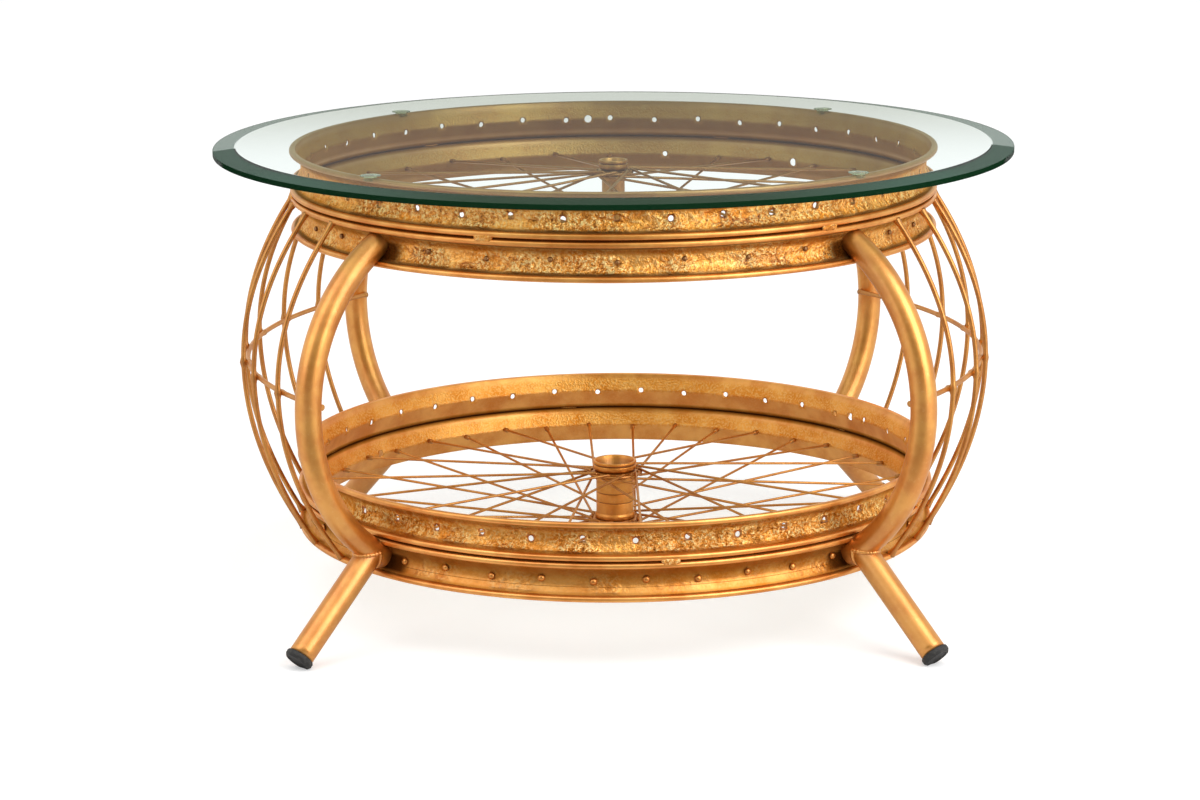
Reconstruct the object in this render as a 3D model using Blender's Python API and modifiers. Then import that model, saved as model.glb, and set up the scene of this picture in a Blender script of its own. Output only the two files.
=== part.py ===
"""Round glass-topped side table made from four bicycle rims, bent tube and wire.

Metres, +Z up, origin on the floor under the centre of the glass. Front is -Y, left is -X.
Two tiers, each a pair of stacked rims, are joined by four bowed legs on splayed feet. The lower
rim of each tier keeps its hub and crossed spokes. Bowed wires close the two sides like a basket.
"""

import math

import bmesh
import bpy
from mathutils import Matrix, Vector

# Clearance kept between pieces that touch on the real table
GAP = 0.0003

# Glass top
TABLE_HEIGHT = 0.460
GLASS_DIAMETER = 0.800
GLASS_THICKNESS = 0.008
GLASS_BEVEL_WIDTH = 0.0225
GLASS_BEVEL_DROP = 0.003
GLASS_FACETS = 64

# Clear bumpers that straddle the top rim's bead under the glass
BUMPER_RISE = 0.0018
BUMPER_SKIRT = 0.0034
BUMPER_SHOULDER = 0.0004
BUMPER_CUP_RADIUS = 0.0100
BUMPER_CUP_EDGE = 0.0006
BUMPER_NECK_RADIUS = 0.0050
BUMPER_SKIRT_RADIUS = 0.0062
BUMPER_FACETS = 8

# Steel rim section, a channel that opens outwards between two rolled beads
RIM_RADIUS = 0.3245
RIM_WIDTH = 0.0375
RIM_DEPTH = 0.0110
RIM_WALL = 0.0016
RIM_BED_WIDTH = 0.0090
BEAD_HEIGHT = 0.0060
BEAD_DEPTH = 0.0055
BEAD_ROUND = 0.0015
RIM_GAP = 0.0020

# Height of the lower tier over the floor, and drilling of the rims, in degrees round the axis
LOWER_TIER_CLEARANCE = 0.0705
PLAIN_RIM_HOLES = 40
UPPER_SPOKE_COUNT = 32
LOWER_SPOKE_COUNT = 40
HOLE_STAGGER = 0.0010
HOLE_SIDES = 5
VALVE_HOLE_RADIUS = 0.0045
VALVE_HOLE_SIDES = 8
UPPER_TOP_VALVE = 11
UPPER_SPOKED_VALVE = 4
LOWER_TOP_VALVE = 3
LOWER_SPOKED_VALVE = 16
UPPER_EMPTY_HOLE = 6
UPPER_TOP_CLOCKING = -4.2
UPPER_SPOKED_CLOCKING = 6.0
LOWER_TOP_CLOCKING = 7.7
LOWER_SPOKED_CLOCKING = 0.5

# Tabs welded into the slit between the two rims of a tier
TABS_PER_TIER = 6
TAB_LENGTH = 0.018
TAB_DEPTH = 0.0032
UPPER_TAB_CLOCKING = -22.0
LOWER_TAB_CLOCKING = 9.0

# Hubs, spokes and nipples
UPPER_BARREL_RADIUS = 0.0118
UPPER_FLANGE_RADIUS = 0.0205
UPPER_SPOKE_CIRCLE = 0.0175
UPPER_FLANGE_SPACING = 0.0550
UPPER_BORE_RADIUS = 0.0085
LOWER_BARREL_RADIUS = 0.0195
LOWER_FLANGE_RADIUS = 0.0285
LOWER_SPOKE_CIRCLE = 0.0250
LOWER_FLANGE_SPACING = 0.0500
LOWER_BORE_RADIUS = 0.0160
HUB_CUP_STEP = 0.0025
HUB_CUP_HEIGHT = 0.0080
HUB_FACETS = 16
FLANGE_THICKNESS = 0.0040
SPOKE_CROSSES = 3
SPOKE_RADIUS = 0.00115
SPOKE_SIDES = 4
NIPPLE_RADIUS = 0.0020
NIPPLE_LENGTH = 0.0140
NIPPLE_SHOULDER = 0.0002
NIPPLE_HEAD_RADIUS = 0.0034
NIPPLE_HEAD_HEIGHT = 0.0022
NIPPLE_DOME_RADIUS = 0.0022

# Bowed legs and splayed feet of round tube
LEG_SPREAD = 45.0
TUBE_RADIUS = 0.0125
TUBE_WALL = 0.0015
TUBE_SIDES = 10
LEG_BULGE = 0.0800
LEG_SINK = 0.0065
LEG_STEPS = 12
FOOT_SETBACK = 0.0150
FOOT_TILT = 47.0
FOOT_FACETS = 10
CAP_RADIUS = 0.0140
CAP_THICKNESS = 0.0065
CAP_CHAMFER = 0.0020
CAP_PLUG_LENGTH = 0.0160
CAP_FLAT = 0.0005

# Side baskets of bowed wires on a horizontal hoop
WIRE_RADIUS = 0.0025
WIRES_PER_SIDE = 7
WIRE_STEPS = 8
WIRE_SIDES = 6
HOOP_BULGE = 0.0465
HOOP_LIFT = 0.0077
HOOP_OVERHANG = 0.0025

# Places that follow from the sizes above
GLASS_BOTTOM = TABLE_HEIGHT - GLASS_THICKNESS
UPPER_TIER_TOP = GLASS_BOTTOM - BUMPER_RISE - 2 * GAP
UPPER_TOP_Z = UPPER_TIER_TOP - RIM_WIDTH / 2
UPPER_SPOKED_Z = UPPER_TOP_Z - RIM_WIDTH - RIM_GAP
LOWER_SPOKED_Z = LOWER_TIER_CLEARANCE + RIM_WIDTH / 2
LOWER_TOP_Z = LOWER_SPOKED_Z + RIM_WIDTH + RIM_GAP
MIDDLE_Z = (UPPER_SPOKED_Z + LOWER_SPOKED_Z) / 2
HOOP_Z = MIDDLE_Z + HOOP_LIFT
BORE_RADIUS = TUBE_RADIUS - TUBE_WALL
LEG_BULGE_RADIUS = RIM_RADIUS + LEG_BULGE
LEG_END_RADIUS = RIM_RADIUS - LEG_SINK
HOOP_SIDE_RADIUS = RIM_RADIUS + HOOP_BULGE
LEG_AZIMUTHS = {
    "front_left": LEG_SPREAD - 180.0,
    "front_right": -LEG_SPREAD,
    "back_right": LEG_SPREAD,
    "back_left": 180.0 - LEG_SPREAD,
}
HOLE_RADIUS = (NIPPLE_RADIUS + 2 * GAP) / math.cos(math.pi / HOLE_SIDES)

GOLD_CAST = ("gold_paint_on_pitted_steel", (0.60, 0.31, 0.075), 0.42, 0.85)
GOLD_TUBE = ("gold_paint_on_tube", (0.66, 0.36, 0.10), 0.34, 0.85)
GLASS = ("green_edged_glass", (0.72, 0.86, 0.80), 0.03, 0.0)
SILICONE = ("clear_silicone", (0.70, 0.80, 0.62), 0.25, 0.0)
BLACK_PLASTIC = ("black_plastic", (0.02, 0.02, 0.02), 0.5, 0.0)


def clear_scene():
    for item in list(bpy.data.objects):
        bpy.data.objects.remove(item, do_unlink=True)


def new_collection(name):
    collection = bpy.data.collections.new(name)
    bpy.context.scene.collection.children.link(collection)
    return collection


def get_material(finish):
    name, colour, roughness, metallic = finish
    material = bpy.data.materials.get(name)
    if material is None:
        material = bpy.data.materials.new(name)
        material.use_nodes = True
        shader = material.node_tree.nodes["Principled BSDF"]
        shader.inputs["Base Color"].default_value = (*colour, 1.0)
        shader.inputs["Roughness"].default_value = roughness
        shader.inputs["Metallic"].default_value = metallic
    return material


def link(name, data, collection, finish=None):
    item = bpy.data.objects.new(name, data)
    collection.objects.link(item)
    if finish:
        data.materials.append(get_material(finish))
    return item


def hide_cutter(item):
    item.hide_render = True
    item.display_type = "WIRE"
    return item


def polar(radius, azimuth, z):
    angle = math.radians(azimuth)
    return Vector((radius * math.cos(angle), radius * math.sin(angle), z))


def turned(name, section, facets, collection, finish=None, closed=False):
    """Revolve a section of (radius, z) points about the object's Z axis."""
    mesh = bpy.data.meshes.new(name)
    last = len(section)
    edges = [(i, (i + 1) % last) for i in range(last if closed else last - 1)]
    mesh.from_pydata([(radius, 0.0, z) for radius, z in section], edges, [])
    item = link(name, mesh, collection, finish)
    screw = item.modifiers.new("turn", "SCREW")
    screw.steps = facets
    screw.render_steps = facets
    screw.use_merge_vertices = True
    screw.merge_threshold = 0.00001
    return item


def rod(name, points, radii, sides, collection, finish=None):
    """Round bar along points, as a mesh with welded caps."""
    curve = bpy.data.curves.new(name, "CURVE")
    curve.dimensions = "3D"
    curve.bevel_depth = 1.0
    curve.bevel_resolution = (sides - 4) // 2
    curve.use_fill_caps = True
    spline = curve.splines.new("POLY")
    spline.points.add(len(points) - 1)
    for place, point, radius in zip(spline.points, points, radii):
        place.co = (*point, 1.0)
        place.radius = radius
    drawn = link(name + ".path", curve, collection)
    depsgraph = bpy.context.evaluated_depsgraph_get()
    mesh = bpy.data.meshes.new_from_object(drawn.evaluated_get(depsgraph))
    bpy.data.objects.remove(drawn, do_unlink=True)
    mesh.name = name
    weld(mesh)
    return link(name, mesh, collection, finish)


def weld(mesh):
    shape = bmesh.new()
    shape.from_mesh(mesh)
    bmesh.ops.remove_doubles(shape, verts=shape.verts, dist=0.00001)
    bmesh.ops.recalc_face_normals(shape, faces=shape.faces)
    shape.to_mesh(mesh)
    shape.free()


def apply_boolean(item, other, operation):
    modifier = item.modifiers.new(operation.lower(), "BOOLEAN")
    modifier.operation = operation
    modifier.object = other


def smooth(item, angle=40.0):
    if item.type == "MESH":
        item.data.shade_smooth()
        item.data.set_sharp_from_angle(angle=math.radians(angle))


def rim_section():
    """Closed rim section about its middle plane, down the tyre side and back up the hub side."""
    half = RIM_WIDTH / 2
    bed = RIM_RADIUS - RIM_DEPTH
    root = RIM_RADIUS - BEAD_DEPTH
    upper = [
        (root, half),
        (RIM_RADIUS - BEAD_ROUND, half),
        (RIM_RADIUS, half - BEAD_HEIGHT / 2 - BEAD_ROUND / 2),
        (root, half - BEAD_HEIGHT),
        (bed, RIM_BED_WIDTH / 2),
    ]
    lower = [(radius, -z) for radius, z in reversed(upper)]
    spine = bed - RIM_WALL
    return upper + lower + [(spine, -RIM_BED_WIDTH / 2), (spine, RIM_BED_WIDTH / 2)]


def grown(section, amount):
    """Move every side of a closed clockwise section outwards by the same amount."""
    result = []
    count = len(section)
    for i in range(count):
        before = Vector(section[i - 1])
        here = Vector(section[i])
        after = Vector(section[(i + 1) % count])
        first = (here - before).normalized()
        second = (after - here).normalized()
        normal_a = Vector((-first.y, first.x))
        normal_b = Vector((-second.y, second.x))
        mitre = normal_a + normal_b
        result.append(tuple(here + mitre * (amount / (1.0 + normal_a.dot(normal_b)))))
    return result


def rim_core_section(amount):
    """The grown tyre side of the rim, filled solid towards the hub."""
    tyre_side = grown(rim_section(), amount)[:-2]
    fill_radius = RIM_RADIUS - 4 * RIM_DEPTH
    return tyre_side + [(fill_radius, tyre_side[-1][1]), (fill_radius, tyre_side[0][1])]


def faceted_radius(radius, facets, clocking, azimuth):
    """Distance from the axis to a faceted ring in the direction of an azimuth."""
    step = 360.0 / facets
    offset = (azimuth - clocking) % step - step / 2
    return radius * math.cos(math.radians(step / 2)) / math.cos(math.radians(offset))


def bed_radius(facets):
    return (RIM_RADIUS - RIM_DEPTH) * math.cos(math.pi / facets)


def hole_height(index):
    return -HOLE_STAGGER if index % 2 else HOLE_STAGGER


def drill_cutter(name, holes, valve_index, cutters):
    """Radial punches, one in the middle of each facet, and one valve hole between two of them."""
    shape = bmesh.new()
    step = 360.0 / holes
    bed = bed_radius(holes)
    places = [((i + 0.5) * step, hole_height(i), HOLE_RADIUS, HOLE_SIDES) for i in range(holes)]
    places.append((valve_index * step, 0.0, VALVE_HOLE_RADIUS, VALVE_HOLE_SIDES))
    for azimuth, height, radius, sides in places:
        turn = Matrix.Rotation(math.radians(azimuth), 4, "Z") @ Matrix.Rotation(math.pi / 2, 4, "Y")
        bmesh.ops.create_cone(
            shape, cap_ends=True, segments=sides, radius1=radius, radius2=radius,
            depth=RIM_DEPTH, matrix=Matrix.Translation(polar(bed, azimuth, height)) @ turn)
    mesh = bpy.data.meshes.new(name)
    shape.to_mesh(mesh)
    shape.free()
    return hide_cutter(link(name, mesh, cutters))


def add_rim(name, z, holes, clocking, valve_index, parts, cutters):
    rim = turned(name, rim_section(), holes, parts, GOLD_CAST, closed=True)
    drills = drill_cutter(name + "_drills", holes, valve_index, cutters)
    for item in (rim, drills):
        item.location.z = z
        item.rotation_euler.z = math.radians(clocking)
    apply_boolean(rim, drills, "DIFFERENCE")
    smooth(rim)
    return rim


def rim_envelope(name, section, z, facets, clocking, cutters):
    envelope = turned(name, section, facets, cutters, closed=True)
    envelope.location.z = z
    envelope.rotation_euler.z = math.radians(clocking)
    return hide_cutter(envelope)


def add_hub(name, z, barrel, bore, spacing, parts):
    """Hollow barrel with a bearing cup at each end, open right through."""
    cup = barrel + HUB_CUP_STEP
    neck = spacing / 2 + FLANGE_THICKNESS / 2 + GAP
    top = neck + HUB_CUP_STEP + HUB_CUP_HEIGHT
    mouth = cup - HUB_CUP_STEP
    upper = [(cup, top), (cup, neck + HUB_CUP_STEP), (barrel, neck)]
    outside = upper + [(radius, -height) for radius, height in reversed(upper)]
    inner = [(mouth, -top), (bore, -neck - HUB_CUP_STEP)]
    inside = inner + [(radius, -height) for radius, height in reversed(inner)]
    hub = turned(name, outside + inside, HUB_FACETS, parts, GOLD_TUBE, closed=True)
    hub.location.z = z
    smooth(hub)
    return hub


def rim_hole(side, index):
    """Number of the rim hole that takes a flange's spoke: the two flanges take turns."""
    return 2 * index + (0 if side > 0 else 1)


def spoke_path(side, index, count, circle, spacing):
    """Spoke from the hub flange to the rim, with a tapered nipple and a head outside the bed.

    Odd and even holes of a flange lean opposite ways, on opposite faces of the flange.
    """
    per_flange = count // 2
    rim_index = rim_hole(side, index)
    lean = 1 if index % 2 else -1
    rim_azimuth = (rim_index + 0.5) * 360.0 / count
    hub_azimuth = rim_azimuth + lean * SPOKE_CROSSES * 360.0 / per_flange
    face = lean * FLANGE_THICKNESS / 2
    hub_end = polar(circle, hub_azimuth, side * spacing / 2 + face)
    bed = bed_radius(count)
    rim_end = polar(bed, rim_azimuth, hole_height(rim_index))
    direction = (rim_end - hub_end).normalized()
    slant = direction.angle(polar(1.0, rim_azimuth, 0.0))
    seat = rim_end + direction * (GAP + NIPPLE_HEAD_RADIUS * math.tan(slant))
    points = [hub_end, rim_end - direction * NIPPLE_LENGTH, seat,
              seat + direction * NIPPLE_SHOULDER, seat + direction * NIPPLE_HEAD_HEIGHT]
    radii = [SPOKE_RADIUS, SPOKE_RADIUS, NIPPLE_RADIUS, NIPPLE_HEAD_RADIUS, NIPPLE_DOME_RADIUS]
    return points, radii


def add_spokes(name, side, z, count, clocking, circle, barrel, flange, spacing, parts, cutters,
               empty_hole=None):
    """Pressed-on flange ring with half of the wheel's spokes in its two faces.

    The spoke of the empty hole is missing.
    """
    height = side * spacing / 2
    inner = barrel + GAP
    half = FLANGE_THICKNESS / 2
    section = [(flange, half), (flange, -half), (inner, -half), (inner, half)]
    section = [(radius, height + place) for radius, place in section]
    ring = turned(name, section, HUB_FACETS, parts, GOLD_TUBE, closed=True)
    bundle = bmesh.new()
    for index in range(count // 2):
        if rim_hole(side, index) == empty_hole:
            continue
        points, radii = spoke_path(side, index, count, circle, spacing)
        one = rod(name + "_one", points, radii, SPOKE_SIDES, cutters)
        bundle.from_mesh(one.data)
        bpy.data.objects.remove(one, do_unlink=True)
    mesh = bpy.data.meshes.new(name + "_laced")
    bundle.to_mesh(mesh)
    bundle.free()
    laced = hide_cutter(link(name + "_laced", mesh, cutters))
    for item in (ring, laced):
        item.location.z = z
        item.rotation_euler.z = math.radians(clocking)
    apply_boolean(ring, laced, "UNION")
    smooth(ring)
    return ring


def leg_arc():
    """Radius and half angle of the leg's arc, and the distance of its centre from the axis."""
    half_height = (UPPER_SPOKED_Z - LOWER_SPOKED_Z) / 2
    rise = LEG_BULGE_RADIUS - LEG_END_RADIUS
    radius = (half_height ** 2 + rise ** 2) / (2 * rise)
    return radius, math.asin(half_height / radius), LEG_BULGE_RADIUS - radius


def leg_point(angle, azimuth):
    radius, _, centre = leg_arc()
    return polar(centre + radius * math.cos(angle), azimuth, MIDDLE_Z + radius * math.sin(angle))


def leg_points(azimuth):
    half_angle = leg_arc()[1]
    return [leg_point(half_angle * (1.0 - 2.0 * i / LEG_STEPS), azimuth)
            for i in range(LEG_STEPS + 1)]


def add_leg(place, azimuth, cores, parts):
    points = leg_points(azimuth)
    radii = [TUBE_RADIUS] * len(points)
    leg = rod("leg_" + place, points, radii, TUBE_SIDES, parts, GOLD_TUBE)
    for core in cores:
        apply_boolean(leg, core, "DIFFERENCE")
    smooth(leg)
    return leg


def foot_frame(azimuth):
    """Where the foot's axis meets the leg, its length down to the cap's face, and its turn."""
    radius, half_angle, _ = leg_arc()
    joint = leg_point(FOOT_SETBACK / radius - half_angle, azimuth)
    tilt = math.radians(FOOT_TILT)
    flat_side = math.cos(math.pi / FOOT_FACETS)
    edge = (CAP_RADIUS - CAP_CHAMFER) * flat_side * math.sin(tilt)
    shoulder = CAP_RADIUS * flat_side * math.sin(tilt) - CAP_CHAMFER * math.cos(tilt)
    drop = joint.z - max(edge, shoulder) + CAP_FLAT
    turn = Matrix.Rotation(math.radians(azimuth), 4, "Z") @ Matrix.Rotation(-tilt, 4, "Y")
    length = drop / math.cos(tilt)
    face = joint - turn.to_3x3() @ Vector((0.0, 0.0, length))
    return face, length, turn @ Matrix.Rotation(math.pi / FOOT_FACETS, 4, "Z")


def add_foot(place, azimuth, floor, parts, cutters):
    face, length, turn = foot_frame(azimuth)
    start = CAP_THICKNESS + GAP
    bore_end = CAP_THICKNESS + CAP_PLUG_LENGTH + GAP
    tube_section = [(0.0, length), (TUBE_RADIUS, length), (TUBE_RADIUS, start),
                    (BORE_RADIUS, start), (BORE_RADIUS, bore_end), (0.0, bore_end)]
    tube = turned("foot_tube_" + place, tube_section, FOOT_FACETS, parts, GOLD_TUBE)
    plug = BORE_RADIUS - GAP
    plug_top = CAP_THICKNESS + CAP_PLUG_LENGTH - GAP
    cap_section = [(0.0, plug_top), (plug, plug_top), (plug, CAP_THICKNESS),
                   (CAP_RADIUS, CAP_THICKNESS), (CAP_RADIUS, CAP_CHAMFER),
                   (CAP_RADIUS - CAP_CHAMFER, 0.0), (0.0, 0.0)]
    cap = turned("foot_cap_" + place, cap_section, FOOT_FACETS, parts, BLACK_PLASTIC)
    for item in (tube, cap):
        item.matrix_world = Matrix.Translation(face) @ turn
        smooth(item)
    points = leg_points(azimuth)
    points.append(points[-1] + (points[-1] - points[-2]).normalized() * TUBE_RADIUS)
    radii = [TUBE_RADIUS + GAP] * len(points)
    envelope = rod("leg_envelope_" + place, points, radii, TUBE_SIDES, cutters)
    apply_boolean(tube, hide_cutter(envelope), "DIFFERENCE")
    apply_boolean(cap, floor, "DIFFERENCE")


def leg_inner_radius(z):
    """Distance from the table's axis to the inner face of the leg's straight steps at a height."""
    points = leg_points(0.0)
    lower = next(i for i, point in enumerate(points) if point.z <= z)
    step = points[lower - 1] - points[lower]
    share = (z - points[lower].z) / step.z
    return points[lower].x + step.x * share - TUBE_RADIUS * step.length / step.z


def hoop_radius(azimuth):
    """Distance from the axis of the hoop, an arc from the side to the inner faces of two legs."""
    leg_reach = leg_inner_radius(HOOP_Z) - GAP - WIRE_RADIUS
    half_chord = leg_reach * math.sin(math.radians(LEG_SPREAD))
    rise = HOOP_SIDE_RADIUS - leg_reach * math.cos(math.radians(LEG_SPREAD))
    radius = (half_chord ** 2 + rise ** 2) / (2 * rise)
    centre = HOOP_SIDE_RADIUS - radius
    angle = math.radians(azimuth)
    return centre * math.cos(angle) + math.sqrt(radius ** 2 - (centre * math.sin(angle)) ** 2)


def add_hoop(side, side_azimuth, parts):
    """Level hoop, whose ends run across the inner faces of the front and back legs."""
    overhang = math.degrees(HOOP_OVERHANG / hoop_radius(LEG_SPREAD))
    steps = 2 * (WIRES_PER_SIDE + 1)
    offsets = [-LEG_SPREAD - overhang]
    offsets += [LEG_SPREAD * (2 * i / steps - 1) for i in range(steps + 1)]
    offsets += [LEG_SPREAD + overhang]
    points = [polar(hoop_radius(offset), side_azimuth + offset, HOOP_Z) for offset in offsets]
    radii = [WIRE_RADIUS] * len(points)
    hoop = rod("side_hoop_" + side, points, radii, WIRE_SIDES, parts, GOLD_TUBE)
    smooth(hoop)


def add_wire(side, number, side_azimuth, parts):
    """Wire bowed out over the hoop, from the top tier's lower rim to the bottom bead."""
    offset = LEG_SPREAD * (2 * number / (WIRES_PER_SIDE + 1) - 1)
    azimuth = side_azimuth + offset
    bead = RIM_WIDTH / 2 - BEAD_HEIGHT / 2
    top_z = UPPER_SPOKED_Z + bead
    bottom_z = LOWER_SPOKED_Z - bead
    top = faceted_radius(RIM_RADIUS, UPPER_SPOKE_COUNT, UPPER_SPOKED_CLOCKING, azimuth)
    bottom = faceted_radius(RIM_RADIUS, LOWER_SPOKE_COUNT, LOWER_SPOKED_CLOCKING, azimuth)
    seat = WIRE_RADIUS + GAP
    bulge = hoop_radius(offset) + 2 * WIRE_RADIUS + GAP
    points = []
    for i in range(WIRE_STEPS + 1):
        share = 2.0 * i / WIRE_STEPS - 1.0
        end, end_z = (top, top_z) if share < 0.0 else (bottom, bottom_z)
        radius = bulge - (bulge - end - seat) * share ** 2
        points.append(polar(radius, azimuth, HOOP_Z + (end_z - HOOP_Z) * abs(share)))
    name = "side_wire_%s_%d" % (side, number)
    wire = rod(name, points, [WIRE_RADIUS] * len(points), WIRE_SIDES, parts, GOLD_TUBE)
    smooth(wire)


def add_tab(tier, number, clocking, z, parts):
    """Small plate in the slit between the beads of two stacked rims."""
    shape = bmesh.new()
    azimuth = -90.0 + clocking + 360.0 * number / TABS_PER_TIER
    bead_middle = RIM_RADIUS - (BEAD_DEPTH + BEAD_ROUND) / 2
    size = Matrix.Diagonal((TAB_DEPTH, TAB_LENGTH, RIM_GAP - 2 * GAP, 1.0))
    turn = Matrix.Rotation(math.radians(azimuth), 4, "Z")
    place = Matrix.Translation(polar(bead_middle, azimuth, z))
    bmesh.ops.create_cube(shape, size=1.0, matrix=place @ turn @ size)
    name = "%s_rim_tab_%d" % (tier, number + 1)
    mesh = bpy.data.meshes.new(name)
    shape.to_mesh(mesh)
    shape.free()
    link(name, mesh, parts, GOLD_CAST)


def add_glass(parts):
    radius = GLASS_DIAMETER / 2
    section = [(0.0, TABLE_HEIGHT), (radius - GLASS_BEVEL_WIDTH, TABLE_HEIGHT),
               (radius, TABLE_HEIGHT - GLASS_BEVEL_DROP), (radius, GLASS_BOTTOM),
               (0.0, GLASS_BOTTOM)]
    smooth(turned("glass_top", section, GLASS_FACETS, parts, GLASS), 1.0)


def add_bumper(place, azimuth, bead_envelope, parts):
    """Suction-cup bumper whose skirt straddles the bead of the top rim."""
    top = BUMPER_RISE
    section = [(0.0, top), (BUMPER_CUP_RADIUS, top), (BUMPER_CUP_RADIUS, top - BUMPER_CUP_EDGE),
               (BUMPER_NECK_RADIUS, top - 2 * BUMPER_CUP_EDGE),
               (BUMPER_SKIRT_RADIUS, BUMPER_SHOULDER),
               (BUMPER_SKIRT_RADIUS, -BUMPER_SKIRT), (0.0, -BUMPER_SKIRT)]
    bumper = turned("glass_bumper_" + place, section, BUMPER_FACETS, parts, SILICONE)
    ring = RIM_RADIUS - BEAD_DEPTH / 2
    reach = faceted_radius(ring, PLAIN_RIM_HOLES, UPPER_TOP_CLOCKING, azimuth)
    bumper.location = polar(reach, azimuth, UPPER_TIER_TOP + GAP)
    bumper.rotation_euler.z = math.radians(azimuth)
    apply_boolean(bumper, bead_envelope, "DIFFERENCE")
    smooth(bumper)


def add_floor_cutter(cutters):
    shape = bmesh.new()
    depth = 4 * CAP_RADIUS
    place = Matrix.Translation((0.0, 0.0, -depth / 2))
    size = Matrix.Diagonal((2 * GLASS_DIAMETER, 2 * GLASS_DIAMETER, depth, 1.0))
    bmesh.ops.create_cube(shape, size=1.0, matrix=place @ size)
    mesh = bpy.data.meshes.new("floor_cutter")
    shape.to_mesh(mesh)
    shape.free()
    return hide_cutter(link("floor_cutter", mesh, cutters))


def add_wheels(parts, cutters):
    add_rim("upper_top_rim", UPPER_TOP_Z, PLAIN_RIM_HOLES, UPPER_TOP_CLOCKING, UPPER_TOP_VALVE,
            parts, cutters)
    add_rim("upper_spoked_rim", UPPER_SPOKED_Z, UPPER_SPOKE_COUNT, UPPER_SPOKED_CLOCKING,
            UPPER_SPOKED_VALVE, parts, cutters)
    add_rim("lower_top_rim", LOWER_TOP_Z, PLAIN_RIM_HOLES, LOWER_TOP_CLOCKING, LOWER_TOP_VALVE,
            parts, cutters)
    add_rim("lower_spoked_rim", LOWER_SPOKED_Z, LOWER_SPOKE_COUNT, LOWER_SPOKED_CLOCKING,
            LOWER_SPOKED_VALVE, parts, cutters)
    add_hub("upper_hub_shell", UPPER_SPOKED_Z, UPPER_BARREL_RADIUS, UPPER_BORE_RADIUS,
            UPPER_FLANGE_SPACING, parts)
    add_hub("lower_hub_shell", LOWER_SPOKED_Z, LOWER_BARREL_RADIUS, LOWER_BORE_RADIUS,
            LOWER_FLANGE_SPACING, parts)
    for side, word in ((1, "top"), (-1, "bottom")):
        add_spokes("upper_spokes_" + word, side, UPPER_SPOKED_Z, UPPER_SPOKE_COUNT,
                   UPPER_SPOKED_CLOCKING, UPPER_SPOKE_CIRCLE, UPPER_BARREL_RADIUS,
                   UPPER_FLANGE_RADIUS, UPPER_FLANGE_SPACING, parts, cutters, UPPER_EMPTY_HOLE)
        add_spokes("lower_spokes_" + word, side, LOWER_SPOKED_Z, LOWER_SPOKE_COUNT,
                   LOWER_SPOKED_CLOCKING, LOWER_SPOKE_CIRCLE, LOWER_BARREL_RADIUS,
                   LOWER_FLANGE_RADIUS, LOWER_FLANGE_SPACING, parts, cutters)
    for number in range(TABS_PER_TIER):
        add_tab("upper", number, UPPER_TAB_CLOCKING, (UPPER_TOP_Z + UPPER_SPOKED_Z) / 2, parts)
        add_tab("lower", number, LOWER_TAB_CLOCKING, (LOWER_TOP_Z + LOWER_SPOKED_Z) / 2, parts)


def add_stand(parts, cutters):
    core = rim_core_section(GAP)
    cores = [
        rim_envelope("upper_rim_core", core, UPPER_SPOKED_Z, UPPER_SPOKE_COUNT,
                     UPPER_SPOKED_CLOCKING, cutters),
        rim_envelope("lower_rim_core", core, LOWER_SPOKED_Z, LOWER_SPOKE_COUNT,
                     LOWER_SPOKED_CLOCKING, cutters),
    ]
    floor = add_floor_cutter(cutters)
    for place, azimuth in LEG_AZIMUTHS.items():
        add_leg(place, azimuth, cores, parts)
        add_foot(place, azimuth, floor, parts, cutters)
    for side, side_azimuth in (("right", 0.0), ("left", 180.0)):
        add_hoop(side, side_azimuth, parts)
        for number in range(1, WIRES_PER_SIDE + 1):
            add_wire(side, number, side_azimuth, parts)


def add_top(parts, cutters):
    add_glass(parts)
    bead_envelope = rim_envelope("top_bead_envelope", grown(rim_section(), GAP), UPPER_TOP_Z,
                                 PLAIN_RIM_HOLES, UPPER_TOP_CLOCKING, cutters)
    for place, azimuth in LEG_AZIMUTHS.items():
        add_bumper(place, azimuth, bead_envelope, parts)


def main():
    clear_scene()
    parts = new_collection("bicycle_rim_glass_table")
    cutters = new_collection("cutters")
    add_wheels(parts, cutters)
    add_stand(parts, cutters)
    add_top(parts, cutters)


main()
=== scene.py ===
import math
from itertools import product

import bpy
import numpy as np
from mathutils import Matrix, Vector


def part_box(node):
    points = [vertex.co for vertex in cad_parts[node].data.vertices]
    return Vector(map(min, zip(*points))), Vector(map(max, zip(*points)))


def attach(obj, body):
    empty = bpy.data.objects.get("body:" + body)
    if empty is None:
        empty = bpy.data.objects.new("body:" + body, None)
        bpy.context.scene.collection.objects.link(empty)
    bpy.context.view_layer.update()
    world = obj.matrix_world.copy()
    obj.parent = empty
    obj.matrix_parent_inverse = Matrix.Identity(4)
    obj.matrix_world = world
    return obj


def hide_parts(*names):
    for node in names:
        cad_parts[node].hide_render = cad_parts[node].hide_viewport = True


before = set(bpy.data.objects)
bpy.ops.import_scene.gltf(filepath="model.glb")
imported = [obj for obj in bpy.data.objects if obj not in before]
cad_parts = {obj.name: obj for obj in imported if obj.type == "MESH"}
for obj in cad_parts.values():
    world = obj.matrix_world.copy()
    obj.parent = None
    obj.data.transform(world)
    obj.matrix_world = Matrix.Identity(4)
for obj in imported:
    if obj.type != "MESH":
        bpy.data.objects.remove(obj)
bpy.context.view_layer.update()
print("frame loaded,", len(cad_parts), "solids")

# the third mask darkens the paint: painted shade in creases, slits, undercuts and beside the legs, and real
# darkening at welds and seams
maskNames = ("hammer", "inside", "grime")
mm = 0.001
filletSteps = 3


# Numpy surfaces

def polar(radius, azimuth, height):
    # (r cos a, r sin a, z), with a in degrees round the table's axis and 0 at the right
    angle = np.radians(azimuth)
    spread = np.broadcast_arrays(radius * np.cos(angle), radius * np.sin(angle), height)
    return np.stack(spread, axis=-1)


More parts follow.
